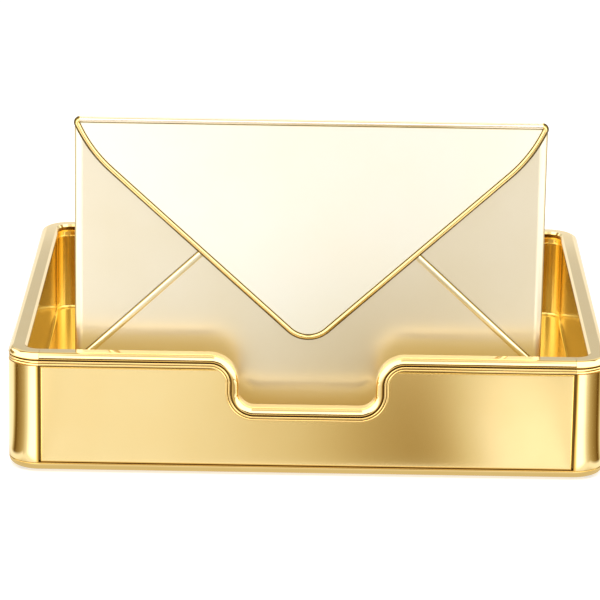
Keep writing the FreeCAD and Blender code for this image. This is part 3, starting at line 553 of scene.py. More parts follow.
def speckled(name, pale, deep, patch_mm, grain_mm, detail, grain_rise, rough):
    """A dull material in two tones that change over patch_mm, with a raised grain of grain_mm.

    detail is the noise's own for both, grain_rise the grain's height and rough the roughness.
    """
    material, tree = fresh(name)
    place = add(tree, "ShaderNodeTexCoord").outputs["Object"]
    grain = add(tree, "ShaderNodeTexNoise",
                {"Vector": place, "Scale": 1 / (grain_mm * MM), "Detail": detail})
    patch = add(tree, "ShaderNodeTexNoise",
                {"Vector": place, "Scale": 1 / (patch_mm * MM), "Detail": detail})
    tone = add(tree, "ShaderNodeMix", {"Factor": patch.outputs["Fac"], COLOUR_A: linear(pale),
                                       COLOUR_B: linear(deep)}, data_type="RGBA")
    bump = add(tree, "ShaderNodeBump", {"Height": grain.outputs["Fac"],
                                        "Distance": grain_rise * MM})
    skin = add(tree, "ShaderNodeBsdfPrincipled",
               {"Base Color": tone.outputs[COLOUR_OUT], "Roughness": rough,
                "Normal": bump.outputs[0]})
    add(tree, "ShaderNodeOutputMaterial", {"Surface": skin.outputs[0]})
    return material


# Raw fibreboard: brown felted fibres a few millimetres long, quite matt.
BOARD = speckled("raw_fibreboard", "8a6a48", "6f5236", 2.0, 2.0, 6.0, 0.1, 0.85)
# Black moulded rubber: dull, with a fine pebble grain and a little dust.
RUBBER = speckled("moulded_black_rubber", "1c1c1c", "2c2b29", 4.0, 0.5, 2.0, 0.05, 0.7)


# ---------------------------------------------------------------- rim
def rim_profile():
    """The rim's section as (inwards from the outer face, down from the top)."""
    second = RIM_HEIGHT - RIM_VALLEY - RIM_BEAD
    first = second - RIM_VALLEY - RIM_BEAD
    inside = LINER_INSET + LINER_THICK
    shelf = RIM_LIP + RIM_WIDTH - inside
    # Each fine bead is an arc through three points, its rise three quarters of the step.
    rise = 0.75 * RIM_STEP
    half = RIM_BEAD / 2
    radius = (half ** 2 + rise ** 2) / (2 * rise)
    swing = math.degrees(math.asin(half / radius))

    def bead(top):
        centre = (RIM_STEP - rise + radius, top + half)
        return arc(centre, radius, 180 + swing, 180 - swing, SMALL_ARC_POINTS + 2)

    return closed(
        line((RIM_WIDTH - RIM_EDGE, 0), (RIM_NOSE, 0)),
        arc((RIM_NOSE, RIM_NOSE), RIM_NOSE, 270, 180),
        arc((RIM_UNDER, RIM_NOSE), RIM_UNDER, 180, 90, SMALL_ARC_POINTS),
        line((RIM_UNDER, RIM_NOSE + RIM_UNDER), (RIM_GROOVE, RIM_NOSE + RIM_UNDER)),
        line((RIM_GROOVE, RIM_NOSE + RIM_UNDER), (RIM_GROOVE, first)),
        line((RIM_GROOVE, first), (RIM_STEP, first)),
        bead(first),
        line((RIM_STEP, first + RIM_BEAD), (RIM_STEP, second)),
        bead(second),
        line((RIM_STEP, second + RIM_BEAD), (RIM_STEP, RIM_HEIGHT)),
        line((RIM_STEP, RIM_HEIGHT), (inside - EASE, RIM_HEIGHT)),
        arc((inside - EASE, RIM_HEIGHT - EASE), EASE, 90, 0, SMALL_ARC_POINTS),
        line((inside, RIM_HEIGHT - EASE), (inside, shelf)),
        line((inside, shelf), (RIM_WIDTH, RIM_LIP)),
        line((RIM_WIDTH, RIM_LIP), (RIM_WIDTH, RIM_EDGE)),
        line((RIM_WIDTH, RIM_EDGE), (RIM_WIDTH - RIM_EDGE, 0)),
    )[:, :2]


def notch_path():
    """The front bar's middle line in (x, z), from left to right, down into the notch and out."""
    end = HALF_X - CORNER - RIM_SEAM
    high = RIM_TOP - RIM_HEIGHT / 2
    low = high - NOTCH_DEPTH
    bend = NOTCH_BEND
    outer = NOTCH_HALF + bend
    inner = NOTCH_HALF - bend
    return chain(
        line((-end, high), (-outer, high)),
        arc((-outer, high - bend), bend, 90, 0),
        line((-NOTCH_HALF, high - bend), (-NOTCH_HALF, low + bend)),
        arc((-inner, low + bend), bend, 180, 270),
        line((-inner, low), (inner, low)),
        arc((inner, low + bend), bend, 270, 360),
        line((NOTCH_HALF, low + bend), (NOTCH_HALF, high - bend)),
        arc((outer, high - bend), bend, 180, 90),
        line((outer, high), (end, high)),
    )


def plan_path(inset, radius):
    """The tray's plan, set in by inset, as a ring from the front right, anticlockwise."""
    wide = HALF_X - inset
    deep = HALF_Y - inset
    stretches = []
    for turn, (i, j) in enumerate(((1, -1), (1, 1), (-1, 1), (-1, -1))):
        centre = (i * (wide - radius), j * (deep - radius))
        bend = arc(centre, radius, 90 * turn - 90, 90 * turn)
        if stretches:
            stretches.append(line(stretches[-1][-1, :2], bend[0, :2]))
        stretches.append(bend)
    return chain(*stretches)


def rim_painted_shade(section):
    """Where painted shade darkens the rim's section: under the nose and in the painted dark line
    round its shoulder, in the valleys beside the fine beads, and below the lip.
    """
    inwards, drop = section.T
    under = np.interp(drop, [NOSE_SHADE_START * RIM_NOSE, RIM_NOSE], [0, 1])
    shoulder = np.degrees(np.arctan2(RIM_NOSE - drop, RIM_NOSE - inwards))
    shade_line = np.interp(np.abs(shoulder - RIM_SHADE_LINE), [0, SHADE_LINE_HALF], [SHADE_LINE_WEIGHT, 0])
    valley = np.interp(inwards, [BEAD_SHADE_START * RIM_STEP, RIM_STEP], [0, 1])
    lip = (drop > RIM_EDGE - NEAR) & (drop < RIM_LIP + NEAR)
    face = np.where(drop > RIM_NOSE + RIM_UNDER + NEAR, valley, np.maximum(under, shade_line))
    return np.where(inwards > RIM_NOSE, lip, face)


def make_rims():
    """The rim: its section carried along the notched front, and round the sides and back."""
    section = rim_profile()
    painted_shade = rim_painted_shade(section)
    path = notch_path()
    place = facing_front(path, HALF_Y)
    across = np.tile([0.0, 1.0, 0.0], (len(path), 1))
    down = np.stack([path[:, 3], np.zeros(len(path)), -path[:, 2]], axis=1)
    place = place - down * RIM_HEIGHT / 2
    bar = carried(place, across, down, section, painted_shade=painted_shade)
    make("front_rim_bar", [bar], "front_rim", "tray", POLISHED_GOLD)

    # The bow ends a hairline short of the bar at each front corner.
    path = plan_path(0, CORNER)
    place = lying(path, RIM_TOP)
    place[0, 0] += RIM_SEAM
    place[-1, 0] -= RIM_SEAM
    inward = left_of(path)
    across = np.hstack([inward, np.zeros((len(path), 1))])
    down = np.tile([0.0, 0.0, -1.0], (len(path), 1))
    bow = carried(place, across, down, section, painted_shade=painted_shade)
    make("rear_rim_bow", [bow], "rear_rim", "tray", POLISHED_GOLD)


make_rims()


# ---------------------------------------------------------------- walls
def notch_edge(end):
    """The line under the rim's foot along the front, in (x, z), from left to right."""
    path = notch_path()
    down = np.stack([path[:, 3], -path[:, 2]], axis=1)
    edge = path.copy()
    edge[:, :2] += down * RIM_HEIGHT / 2
    edge[0, 0] = -end
    edge[-1, 0] = end
    return edge


def make_panels():
    """Four satin plates set a little behind the corner posts; the front one is notched."""
    low = BASE_HIGH[2] + PANEL_GAP
    top = notch_edge(PANEL_HALF_X)[::-1].copy()
    top[:, 2:] *= -1
    long = rectangle(-PANEL_HALF_X, PANEL_HALF_X, low, RIM_FOOT)
    short = rectangle(-PANEL_HALF_Y, PANEL_HALF_Y, low, RIM_FOOT)
    face = HALF_Y - PANEL_RECESS
    side = HALF_X - PANEL_RECESS
    right = plate(short, facing_right, side - PANEL_THICK, side, PANEL_EASE)
    panels = {
        "front": plate(below(top, low), facing_front, face - PANEL_THICK, face, PANEL_EASE),
        "back": plate(long, facing_back, face - PANEL_THICK, face, PANEL_EASE),
        "right": right,
        "left": mirrored(right),
    }
    for name, panel in panels.items():
        make(f"{name}_panel_plate", [panel], f"{name}_panel", "tray", SATIN_GOLD)


def make_posts():
    """Quarter-round posts, each with a tongue that runs behind the panel on either side."""
    inner = CORNER - POST_THICK
    seat = CORNER - PANEL_RECESS - PANEL_THICK
    # The small rounds at the two edges touch the large one from inside.
    ease = POST_EASE
    lean = math.asin(ease / (CORNER - ease))
    far = (CORNER - ease) * math.cos(lean)
    lean = math.degrees(lean)
    section = closed(
        arc((far, ease), ease, -90, lean, SMALL_ARC_POINTS),
        arc((0, 0), CORNER, lean, 90 - lean),
        arc((ease, far), ease, 90 - lean, 180, SMALL_ARC_POINTS),
        line((0, far), (0, seat)),
        line((0, seat), (-POST_TONGUE, seat)),
        line((-POST_TONGUE, seat), (-POST_TONGUE, inner)),
        line((-POST_TONGUE, inner), (0, inner)),
        arc((0, 0), inner, 90, 0),
        line((inner, 0), (inner, -POST_TONGUE)),
        line((inner, -POST_TONGUE), (seat, -POST_TONGUE)),
        line((seat, -POST_TONGUE), (seat, 0)),
        line((seat, 0), (far, 0)),
    )
    # Painted shade darkens the small rounds and the post beside each joint with a panel.
    depth = CORNER - np.linalg.norm(section[:, :2], axis=1)
    beside_joint = section[:, :2].min(axis=1)
    painted_shade = np.maximum(np.clip(depth / POST_EASE, 0, 1),
                         np.interp(beside_joint, [0, POST_SHADE_REACH], [1, 0]))
    upright = np.array([BASE_HIGH[2], RIM_FOOT])
    for j, end in ((-1, "front"), (1, "back")):
        for i, side in ((-1, "left"), (1, "right")):
            flat = section[:, :2] * [i, j] + [i * (HALF_X - CORNER), j * (HALF_Y - CORNER)]
            rings = np.stack([lying(flat, height) for height in upright])
            node = f"corner_post_{end}_{side}"
            make(f"{node}_round", [shell(rings, painted_shade=painted_shade)], node, "tray",
                 POLISHED_GOLD)


make_panels()
make_posts()


# ---------------------------------------------------------------- base
def make_feet():
    """Four round rubber pads: an eased disc each."""
    for corner in ("front_left", "front_right", "back_left", "back_right"):
        node = f"foot_pad_{corner}"
        low, high = edges(node)
        centre = (low[:2] + high[:2]) / 2
        ring = closed(arc(centre, (high[0] - low[0]) / 2, 0, 360, PAD_POINTS))
        make(f"{node}_disc", [plate(ring, lying, low[2], high[2])], node, "tray",
             RUBBER)


def ledge_painted_shade(points):
    """Painted shade on the base moulding's top, and below it by as much as a panel is recessed."""
    return np.where(points[:, 2] > BASE_HIGH[2] - PANEL_RECESS - 2 * NEAR, LEDGE_SHADE, 0)


make_feet()
dressed("base_moulding", "base_frame", "tray", "polished_gold", POLISHED_GOLD, ledge_painted_shade)
for hidden in (
        ("base_plate_sheet", "base_plate", "tray", "plate_metal", PLATE_METAL),
        ("filler_board", "floor_board", "tray", "board", BOARD),
        ("rim_tie_screw_set", "rim_tie_screws", "tray", "screw_steel", SCREW_STEEL),
        ("base_screw_set", "base_screws", "tray", "screw_steel", SCREW_STEEL),
        ("channel_screw_set", "channel_screws", "tray", "screw_steel", SCREW_STEEL),
        ("envelope_channel_rail", "envelope_channel", "tray", "amber_gold", AMBER_GOLD),
        ("hinge_pin_rod", "hinge_pin", "envelope", "screw_steel", SCREW_STEEL)):
    dressed(*hidden)


# ---------------------------------------------------------------- liner
def make_liner():
    """The drawn inner tray: a wall section carried round the plan, closed by a flat floor.

    Each upright of the section starts on the plan ring and ends on the wall's top line; along
    the front, that top line is the edge of the notch, so the uprights there lean a little.
    """
    thick = LINER_THICK
    outer = CORNER - LINER_INSET
    inner = outer - thick
    ring = plan_path(LINER_INSET, outer)
    front = notch_edge(HALF_X - CORNER)
    share = np.linspace(1, -1, len(front))[1:-1]
    straight = np.stack([share * -(HALF_X - CORNER), np.full(len(share), -(HALF_Y - LINER_INSET)),
                         np.ones(len(share)), np.zeros(len(share))], axis=1)
    ring = np.vstack([ring, straight])
    inward = left_of(ring)
    top_x = np.concatenate([ring[:-len(share), 0], front[1:-1, 0]])
    top_z = np.concatenate([np.full(len(ring) - len(share), RIM_FOOT), front[1:-1, 1]])
    turn = np.linspace(0, math.pi / 2, SMALL_ARC_POINTS)
    low = LINER_LOW[2]
    floor = low + thick
    outside = LINER_FOOT + thick

    def level(inset, height):
        return lying(ring[:, :2] + inward * inset, height)

    def head(inset, drop):
        points = level(inset, 0)
        points[:, 0] = top_x + inward[:, 0] * inset
        points[:, 2] = top_z - drop
        return points

    rows = [level(outside + GUARD, low)]
    rows += [level(outside * (1 - math.sin(t)), low + outside * (1 - math.cos(t))) for t in turn]
    rows += [head(0, EASE), head(EASE, 0), head(thick - EASE, 0)]
    rows += [head(thick - EASE * (1 - math.sin(t)), EASE * (1 - math.cos(t))) for t in turn]
    rows += [level(thick + LINER_FOOT * (1 - math.cos(t)), floor + LINER_FOOT * (1 - math.sin(t)))
             for t in turn]
    rows += [level(thick + LINER_FOOT + GUARD, floor)]
    make("inner_tray_liner", [shell(np.stack(rows))], "inner_liner", "tray",
         AMBER_GOLD)


make_liner()


# ---------------------------------------------------------------- envelope
def seam_path(inset):
    """The bottom flap's upper edge in (x, z), right to left: slope, round apex, slope."""
    slope = math.radians(SEAM_SLOPE)
    apex = edges("bottom_flap")[1][2]
    centre = apex - SEAM_ROUND
    radius = SEAM_ROUND - inset
    across = radius * math.sin(slope)
    height = centre + radius * math.cos(slope)
    end = height - (FLAT_HALF - across) * math.tan(slope)
    return chain(
        line((FLAT_HALF, end), (across, height)),
        arc((0, centre), radius, 90 - SEAM_SLOPE, 90 + SEAM_SLOPE),
        line((-across, height), (-FLAT_HALF, end)),
    )


def wire(path, depth, radius, lift, unshaded, shade_coat=0.0, along=False, rise=1.0):
    """A wire laid on a sheet at y = depth: a circle whose centre stands lift and a hair in front
    of the sheet, with upright sides down to it, pressed to rise times its height.

    Between the two shares of its radius given for its unshaded middle, to the right and the left
    of its way, it has only the light painted shade given as its coat; beyond them painted shade
    darkens it.
    """
    side = np.stack([-path[:, 3], np.zeros(len(path)), path[:, 2]], axis=1)
    front = np.tile([0.0, -1.0, 0.0], (len(path), 1))
    section = closed(
        line((-radius, 0), (radius, 0)),
        line((radius, 0), (radius, lift + NEAR)),
        arc((0, lift + NEAR), radius, 0, 180),
        line((-radius, lift + NEAR), (-radius, 0)),
    )[:, :2] * [1, rise]
    right, left = unshaded
    lined = np.interp(section[:, 0] / radius,
                      [-right - DARK_BLEND, -right, left, left + DARK_BLEND], [1, shade_coat, shade_coat, 1])
    return carried(facing_front(path, -depth), side, front, section, along,
                   lined[None, :] * shade_along(path)[:, None])


def shade_along(path):
    """How much painted shade stays along a path: little on the flap's level top, painted lighter
    there, and all of it elsewhere.
    """
    level = np.interp(np.abs(path[:, 3]), [0, TOP_SLOPE], [TOP_SHADE, 1])
    return np.where(path[:, 1] > FLAP_TOP - 2 * FLAP_CORNER, level, 1)


def make_bottom_flap():
    """The bottom flap's plate, the return that closes the foot, and the bead on its edge."""
    outline = below(seam_path(0), ENVELOPE_FOOT)
    # Painted shade lies on the plate's edges, except on the front edge along the foot.
    rear_edge = (RINGS > 0) & (RINGS <= SMALL_ARC_POINTS)
    front_edge = (RINGS > SMALL_ARC_POINTS) & (RINGS < RINGS.max())
    above_foot = outline[:, 1] > ENVELOPE_FOOT + NEAR
    front = plate(outline, facing_front, -BOTTOM_FACE - SHEET, -BOTTOM_FACE, FINE_EASE,
                  (rear_edge | front_edge & above_foot).astype(float))
    foot = plate(rectangle(-FLAT_HALF, FLAT_HALF, BOTTOM_FACE + SHEET, BACK_FACE), lying,
                 ENVELOPE_FOOT, ENVELOPE_FOOT + SHEET, FINE_EASE)
    make("bottom_flap_sheet", [front, foot], "bottom_flap", "envelope",
         CHAMPAGNE_BODY)

    bead = wire(seam_path(SEAM_MARGIN + SEAM_RADIUS), BOTTOM_FACE, SEAM_RADIUS, 0, SEAM_UNSHADED,
                rise=SEAM_RISE)
    make("bottom_flap_seam_bead", [bead], "bottom_flap_bead", "envelope", PALE_BEAD)


def make_side_flaps():
    """A side flap each: its sheet follows the front, a round corner and the side wall.

    The sheet's section is a tall thin strip whose top runs down towards the middle.
    """
    middle = SIDE_LOW[1] + SHEET / 2
    bend = SIDE_ROUND - SHEET / 2
    path = chain(
        line((SIDE_GAP, middle), (FLAT_HALF, middle)),
        arc((FLAT_HALF, middle + bend), bend, -90, 0),
        line((FLAT_HALF + bend, middle + bend), (FLAT_HALF + bend, BACK_FACE)),
    )
    low = SIDE_LOW[2]
    drop = np.clip(FLAT_HALF - path[:, 0], 0, None) * math.tan(math.radians(SIDE_SLOPE))
    top = SIDE_HIGH[2] - drop
    half = SHEET / 2
    strip = rectangle(-half, half, 0, 1, FINE_EASE)[:, :2]
    # The strip is 1 mm high; its upper half is taken up to the flap's top.
    upper = strip[:, 1] > 0.5
    height = np.where(upper, strip[:, 1] - 1, strip[:, 1])
    profile = np.empty((len(path), len(strip), 2))
    profile[..., 0] = strip[:, 0]
    profile[..., 1] = height + np.where(upper, (top - low)[:, None], 0)
    place = lying(path, low)
    across = np.hstack([left_of(path), np.zeros((len(path), 1))])
    up = np.tile([0.0, 0.0, 1.0], (len(path), 1))
    # Painted shade darkens the sheet where it turns from the round corner to the side wall.
    turned = np.degrees(np.arctan2(path[:, 3], path[:, 2]))
    painted_shade = np.interp(turned, SIDE_TURNS, [0, SIDE_SHADE])
    right = carried(place, across, up, profile, painted_shade=painted_shade[:, None])
    for name, flap in (("right", right), ("left", mirrored(right))):
        make(f"{name}_side_flap_sheet", [flap], f"{name}_side_flap", "envelope",
             CHAMPAGNE_BODY)


def knuckle(low, high):
    """A hinge knuckle: a ring section about the hinge line, drawn out along X from low to high."""
    turn = np.linspace(0, 2 * math.pi, KNUCKLE_POINTS)[:-1]
    out = np.stack([np.cos(turn), np.sin(turn)], axis=1)
    ease = FINE_EASE
    radii = [HINGE_BORE, HINGE_BORE, HINGE_RADIUS - ease, HINGE_RADIUS, HINGE_RADIUS,
             HINGE_RADIUS - ease]
    places = [high, low, low, low + ease, high - ease, high]
    rings = [facing_right(np.array([HINGE_Y, HINGE_Z]) + out * radius, place)
             for radius, place in zip(radii, places)]
    return shell(np.stack(rings), along=True)


def make_back():
    """The back plate, with a tab at each top corner that is rolled into a knuckle."""
    rear = BACK_FACE + BACK_THICK
    top = HINGE_Z - HINGE_RADIUS - KNUCKLE_GAP
    parts = [plate(rectangle(-ENVELOPE_HALF, ENVELOPE_HALF, ENVELOPE_FOOT, top), facing_front,
                   -rear, -BACK_FACE)]
    for low, high in ((KNUCKLE_IN, KNUCKLE_OUT), (-KNUCKLE_OUT, -KNUCKLE_IN)):
        tab = rectangle(low, high, top - TAB_LAP, HINGE_Z, FINE_EASE)
        parts.append(plate(tab, facing_front, TAB_SUNK - rear, -BACK_FACE - TAB_SUNK, FINE_EASE))
        parts.append(knuckle(low, high))
    make("envelope_back_sheet", parts, "envelope_back", "envelope",
         CHAMPAGNE_BODY)


make_bottom_flap()
make_side_flaps()
make_back()


# ---------------------------------------------------------------- flap
def flap_path(inset):
    """The flap's outline in (x, z), set in by inset: a ring, anticlockwise from the top middle.

    Small round top corners run into long shoulders, then straight slopes and a round tip.
    """
    slope = math.radians(FLAP_SLOPE)
    turn = math.radians(SHOULDER_ANGLE)
    x_corner = ENVELOPE_HALF - FLAP_CORNER
    z_corner = FLAP_TOP - FLAP_CORNER
    step = SHOULDER_RADIUS - FLAP_CORNER
    x_shoulder = x_corner - step * math.sin(turn)
    z_shoulder = z_corner + step * math.cos(turn)
    x_slope = x_shoulder + SHOULDER_RADIUS * math.sin(slope)
    z_slope = z_shoulder - SHOULDER_RADIUS * math.cos(slope)
    z_tip = z_slope - x_slope * math.tan(slope) + FLAP_TIP / math.cos(slope)
    small = FLAP_CORNER - inset
    large = SHOULDER_RADIUS - inset
    tip = FLAP_TIP - inset
    corner_end = 270 - SHOULDER_ANGLE
    slope_end = 270 - FLAP_SLOPE
    left_corner = arc((-x_corner, z_corner), small, 90, corner_end)
    left_shoulder = arc((-x_shoulder, z_shoulder), large, corner_end, slope_end)
    round_tip = arc((0, z_tip), tip, slope_end, 540 - slope_end)
    right_shoulder = arc((x_shoulder, z_shoulder), large, 540 - slope_end, 540 - corner_end)
    right_corner = arc((x_corner, z_corner), small, 540 - corner_end, 450)
    return closed(
        line((0, FLAP_TOP - inset), left_corner[0, :2]),
        left_corner,
        left_shoulder,
        line(left_shoulder[-1, :2], round_tip[0, :2]),
        round_tip,
        line(round_tip[-1, :2], right_shoulder[0, :2]),
        right_shoulder,
        right_corner,
        line(right_corner[-1, :2], (0, FLAP_TOP - inset)),
    )


def make_flap():
    """The flap: a sheet inside its wire, and a thin web under both that runs out to the edge.

    The sheet and the wire start inside the web, so that no two faces meet at the back.
    """
    rear = -FLAP_REAR
    sunk = FLAP_THICK / 6
    centre = BEAD_MARGIN + BEAD_RADIUS
    sheet = plate(flap_path(centre + BEAD_RADIUS + BEAD_GROOVE), facing_front, rear + sunk,
                  rear + FLAP_THICK, FINE_EASE)
    edge = flap_path(0)
    # The web's eased edge is darkened by painted shade, lighter along the flap's level top.
    web = plate(edge, facing_front, rear, rear + FLAP_THICK / 3, FINE_EASE,
                (RINGS > 0) * shade_along(edge))
    make("flap_sheet", [sheet, web], "flap_panel", "flap", CHAMPAGNE_FLAP)

    bead = wire(flap_path(centre), FLAP_REAR - sunk, BEAD_RADIUS, BEAD_LIFT - sunk, BEAD_UNSHADED,
                BEAD_SHADE, along=True)
    make("flap_border_wire", [bead], "flap_edge_bead", "flap", BEAD_GOLD)


def make_hinge_leaf():
    """The leaf behind the flap's top edge, bent back over the envelope to its long knuckle."""
    top = HINGE_Z + HINGE_RADIUS
    bend = [(FLAP_REAR, LEAF_FOOT), (FLAP_REAR + SHEET, LEAF_FOOT),
            (FLAP_REAR + SHEET, top - SHEET), (HINGE_Y, top - SHEET),
            (HINGE_Y, top), (FLAP_REAR, top)]
    section = eased([(*corner, FINE_EASE) for corner in bend])
    leaf = plate(section, facing_right, -LEAF_HALF, LEAF_HALF, FINE_EASE)
    make("flap_hinge_leaf", [leaf, knuckle(-LEAF_HALF, LEAF_HALF)], "hinge_leaf", "flap",
         CHAMPAGNE_BODY)


make_flap()
make_hinge_leaf()


# ---------------------------------------------------------------- studio
# The floor: its matt white paint, its half width in metres, and the light that it adds to
# what the camera sees of it, so that it reads as white.
FLOOR_PAINT = (0.8, 0.8, 0.8, 1.0)
FLOOR_REACH = 6.0
FLOOR_LIFT = 0.56
# The world's light on matt surfaces.
SKY_FILL = 0.55

# The card on the floor: how far it lies above it, and where the fine mesh near the tray and
# the coarse one round it start, end and step.
CARD_LIFT = 0.4
FINE_REACH = 400
FINE_STEP = 5
COARSE_START = 420
COARSE_REACH = 900
COARSE_STEP = 30
# Its levels.  The base moulding sees it out to LEDGE_REACH, and the tray's own faces out to
# FLAG_REACH, from where it fades into an apron.
LEDGE_REACH = 21
LEDGE_AWAY = [3, 10, 14]
LEDGE_LEVEL = [0.7, 0.85, 1.1]
FLAG_REACH = 218
FLAG_FADE = 20
# In front of a panel it goes by x: bright at the left, dark right of the middle, bright again.
PANEL_X = [-150, -82, -49, -24, 0, 18, 34, 51, 62, 72, 82, 97, 112, 130]
PANEL_LEVEL = [1.0, 0.96, 0.87, 0.8, 0.71, 0.61, 0.51, 0.44, 0.41, 0.45, 0.57, 0.85, 1.13, 1.2]
# Round a post it goes by the bearing from its axis, in degrees from straight ahead.
POST_BEARING = [0, 5, 9, 13, 30, 35, 39, 42, 46, 50, 56, 64, 72, 82, 89, 94, 100, 106, 112]
POST_LEVEL = [0.7, 1.0, 1.5, 2.2, 2.2, 1.9, 1.4, 1.0, 0.86, 0.74, 0.56, 0.44, 0.35, 0.25, 0.12,
              0.3, 0.62, 0.95, 1.15]
# The apron in front goes by x, and dips near the tray.
APRON = 1.27
APRON_X = [-300, 0, 60, 180]
APRON_SHARE = [1.04, 1.0, 0.9, 0.76]
DIP_X = [-60, 80]
DIP_SHARE = [0.25, 0.5]
DIP_AWAY = [250, 450]
# Beside the tray it goes over to a brighter one, which sets in further out at the right.
SIDE_BESIDE = [100, 250]
SIDE_APRON = 2.0
RIGHT_APRON = 0.8
RIGHT_AWAY = [250, 500]
# It goes over to 1 behind the envelope's sides, between these bearings, and far out.
REAR_BEARING = [15, 30]
FAR_AWAY = [700, 850]
# Two dark lanes behind the tray, which the envelope's round edges and the rims see last.
LANE_X = 172
LANE_HALF = 24
LANE_LEVEL = 0.5

# The walls and the ceiling of cards, the place across them where their white parts end, and
# how bright those are.
WALL_AWAY = 1300
WALL_HIGH = 1500
WALL_TURN = 340
WHITE = 2.3

# The softbox: its place and size in metres, and its power.
SOFTBOX_PLACE = (0, -0.88, 1.5)
SOFTBOX_SIZE = (1.8, 2.1)
SOFTBOX_POWER = 31

# The amber strip stands this far behind the tray's front, ends this far below the rim's top,
# and starts this far above the liner's underside.
STRIP_NEAR = RIM_WIDTH + 0.4
STRIP_DROP = 0.8
STRIP_FOOT = 2

# Powers that turn a level below one into red, green and blue: a grey, tan and amber glow.
GREY = np.array([1.0, 1.0, 1.0])
TAN = np.array([1.0, 1.3, 2.1])
AMBER = np.array([0.85, 1.65, 4.4])


def make_floor():
    """A plain white sweep that keeps the tray's shadow, and is white in the metal as well."""
    material, tree = fresh("white_studio_floor")
    rays = add(tree, "ShaderNodeLightPath")
    diffuse = add(tree, "ShaderNodeBsdfDiffuse", {"Color": FLOOR_PAINT})
    lift = add(tree, "ShaderNodeMath", {0: rays.outputs["Is Camera Ray"], 1: FLOOR_LIFT},
               operation="MULTIPLY")
    haze = add(tree, "ShaderNodeEmission", {"Strength": lift.outputs[0]})
    seen = add(tree, "ShaderNodeAddShader", {0: diffuse.outputs[0], 1: haze.outputs[0]})
    white = add(tree, "ShaderNodeEmission", {"Strength": 1.0})
    in_metal = add(tree, "ShaderNodeMath",
                   {0: rays.outputs["Is Glossy Ray"], 1: rays.outputs["Is Transmission Ray"]},
                   operation="MAXIMUM")
    both = add(tree, "ShaderNodeMixShader",
               {0: in_metal.outputs[0], 1: seen.outputs[0], 2: white.outputs[0]})
    add(tree, "ShaderNodeOutputMaterial", {"Surface": both.outputs[0]})
    mesh = bpy.data.meshes.new("floor")
    reach = FLOOR_REACH
    mesh.from_pydata([(-reach, -reach, 0), (reach, -reach, 0), (reach, reach, 0),
                      (-reach, reach, 0)], [], [(0, 1, 2, 3)])
    mesh.materials.append(material)
    floor = bpy.data.objects.new("floor", mesh)
    bpy.context.scene.collection.objects.link(floor)


def make_world():
    """White to the eye and in the metal, and a gentler white as the light that fills shadows."""
    world = bpy.data.worlds.new("studio")
    bpy.context.scene.world = world
    world.use_nodes = True
    tree = world.node_tree
    tree.nodes.clear()
    rays = add(tree, "ShaderNodeLightPath").outputs
    eye = add(tree, "ShaderNodeMath", {0: rays["Is Camera Ray"], 1: rays["Is Glossy Ray"]},
              operation="MAXIMUM")
    seen = add(tree, "ShaderNodeMath", {0: eye.outputs[0], 1: rays["Is Transmission Ray"]},
               operation="MAXIMUM")
    level = add(tree, "ShaderNodeMapRange", {"Value": seen.outputs[0], "To Min": SKY_FILL})
    sky = add(tree, "ShaderNodeBackground", {"Strength": level.outputs[0]})
    add(tree, "ShaderNodeOutputWorld", {"Surface": sky.outputs[0]})


def make_softbox():
    """A wide softbox in front of the tray that shines straight down, unseen in the metal."""
    light = bpy.data.lights.new("overhead_softbox", "AREA")
    light.shape = "RECTANGLE"
    light.size, light.size_y = SOFTBOX_SIZE
    light.energy = SOFTBOX_POWER
    box = bpy.data.objects.new("overhead_softbox", light)
    box.location = SOFTBOX_PLACE
    box.visible_camera = False
    box.visible_glossy = False
    bpy.context.scene.collection.objects.link(box)


def card_material():
    """Graduated card: it glows as a light at the level written at each point."""
    material, tree = fresh("graduated_card")
    material.cycles.emission_sampling = "NONE"
    glow = add(tree, "ShaderNodeAttribute", attribute_name="glow").outputs["Color"]
    light = add(tree, "ShaderNodeEmission", {"Color": glow, "Strength": 1.0})
    add(tree, "ShaderNodeOutputMaterial", {"Surface": light.outputs[0]})
    return material


CARD = card_material()


def add_card(name, grid, level, board):
    """A card from a grid of points (rows, columns, 3) in millimetres, with its level at each.

    Only the metal's reflections see it, as a flag or reflector out of the camera's sight.
    """
    rows, columns, _ = grid.shape
    row = np.arange(rows - 1)[:, None] * columns
    here = row + np.arange(columns - 1)[None, :]
    faces = np.stack([here, here + 1, here + columns + 1, here + columns], axis=-1)
    mesh = bpy.data.meshes.new(name)
    mesh.from_pydata((grid.reshape(-1, 3) * MM).tolist(), [], faces.reshape(-1, 4).tolist())
    level = np.broadcast_to(level, (rows, columns)).reshape(-1, 1)
    colour = np.where(level < 1, level ** board, level)
    layer = mesh.attributes.new("glow", "FLOAT_COLOR", "POINT")
    layer.data.foreach_set("color", np.hstack([colour, np.ones(level.shape)]).ravel())
    mesh.materials.append(CARD)
    card = bpy.data.objects.new(name, mesh)
    card.visible_camera = False
    card.visible_diffuse = False
    card.visible_transmission = False
    card.visible_shadow = False
    bpy.context.scene.collection.objects.link(card)


def tray_level(x, y, away):
    """The level that the tray's own faces see: by x in front of a panel, by bearing round a
    post, and by the distance from the tray close under the base moulding.
    """
    panel = np.interp(-x * np.sign(y), PANEL_X, PANEL_LEVEL)
    bearing = np.degrees(np.arctan2(np.abs(x) - (HALF_X - CORNER), np.abs(y) - (HALF_Y - CORNER)))
    post = np.interp(bearing, POST_BEARING, POST_LEVEL)
    wall = np.where(np.abs(x) < HALF_X - CORNER, panel, post)
    return np.where(away < LEDGE_REACH, np.interp(away, LEDGE_AWAY, LEDGE_LEVEL), wall)


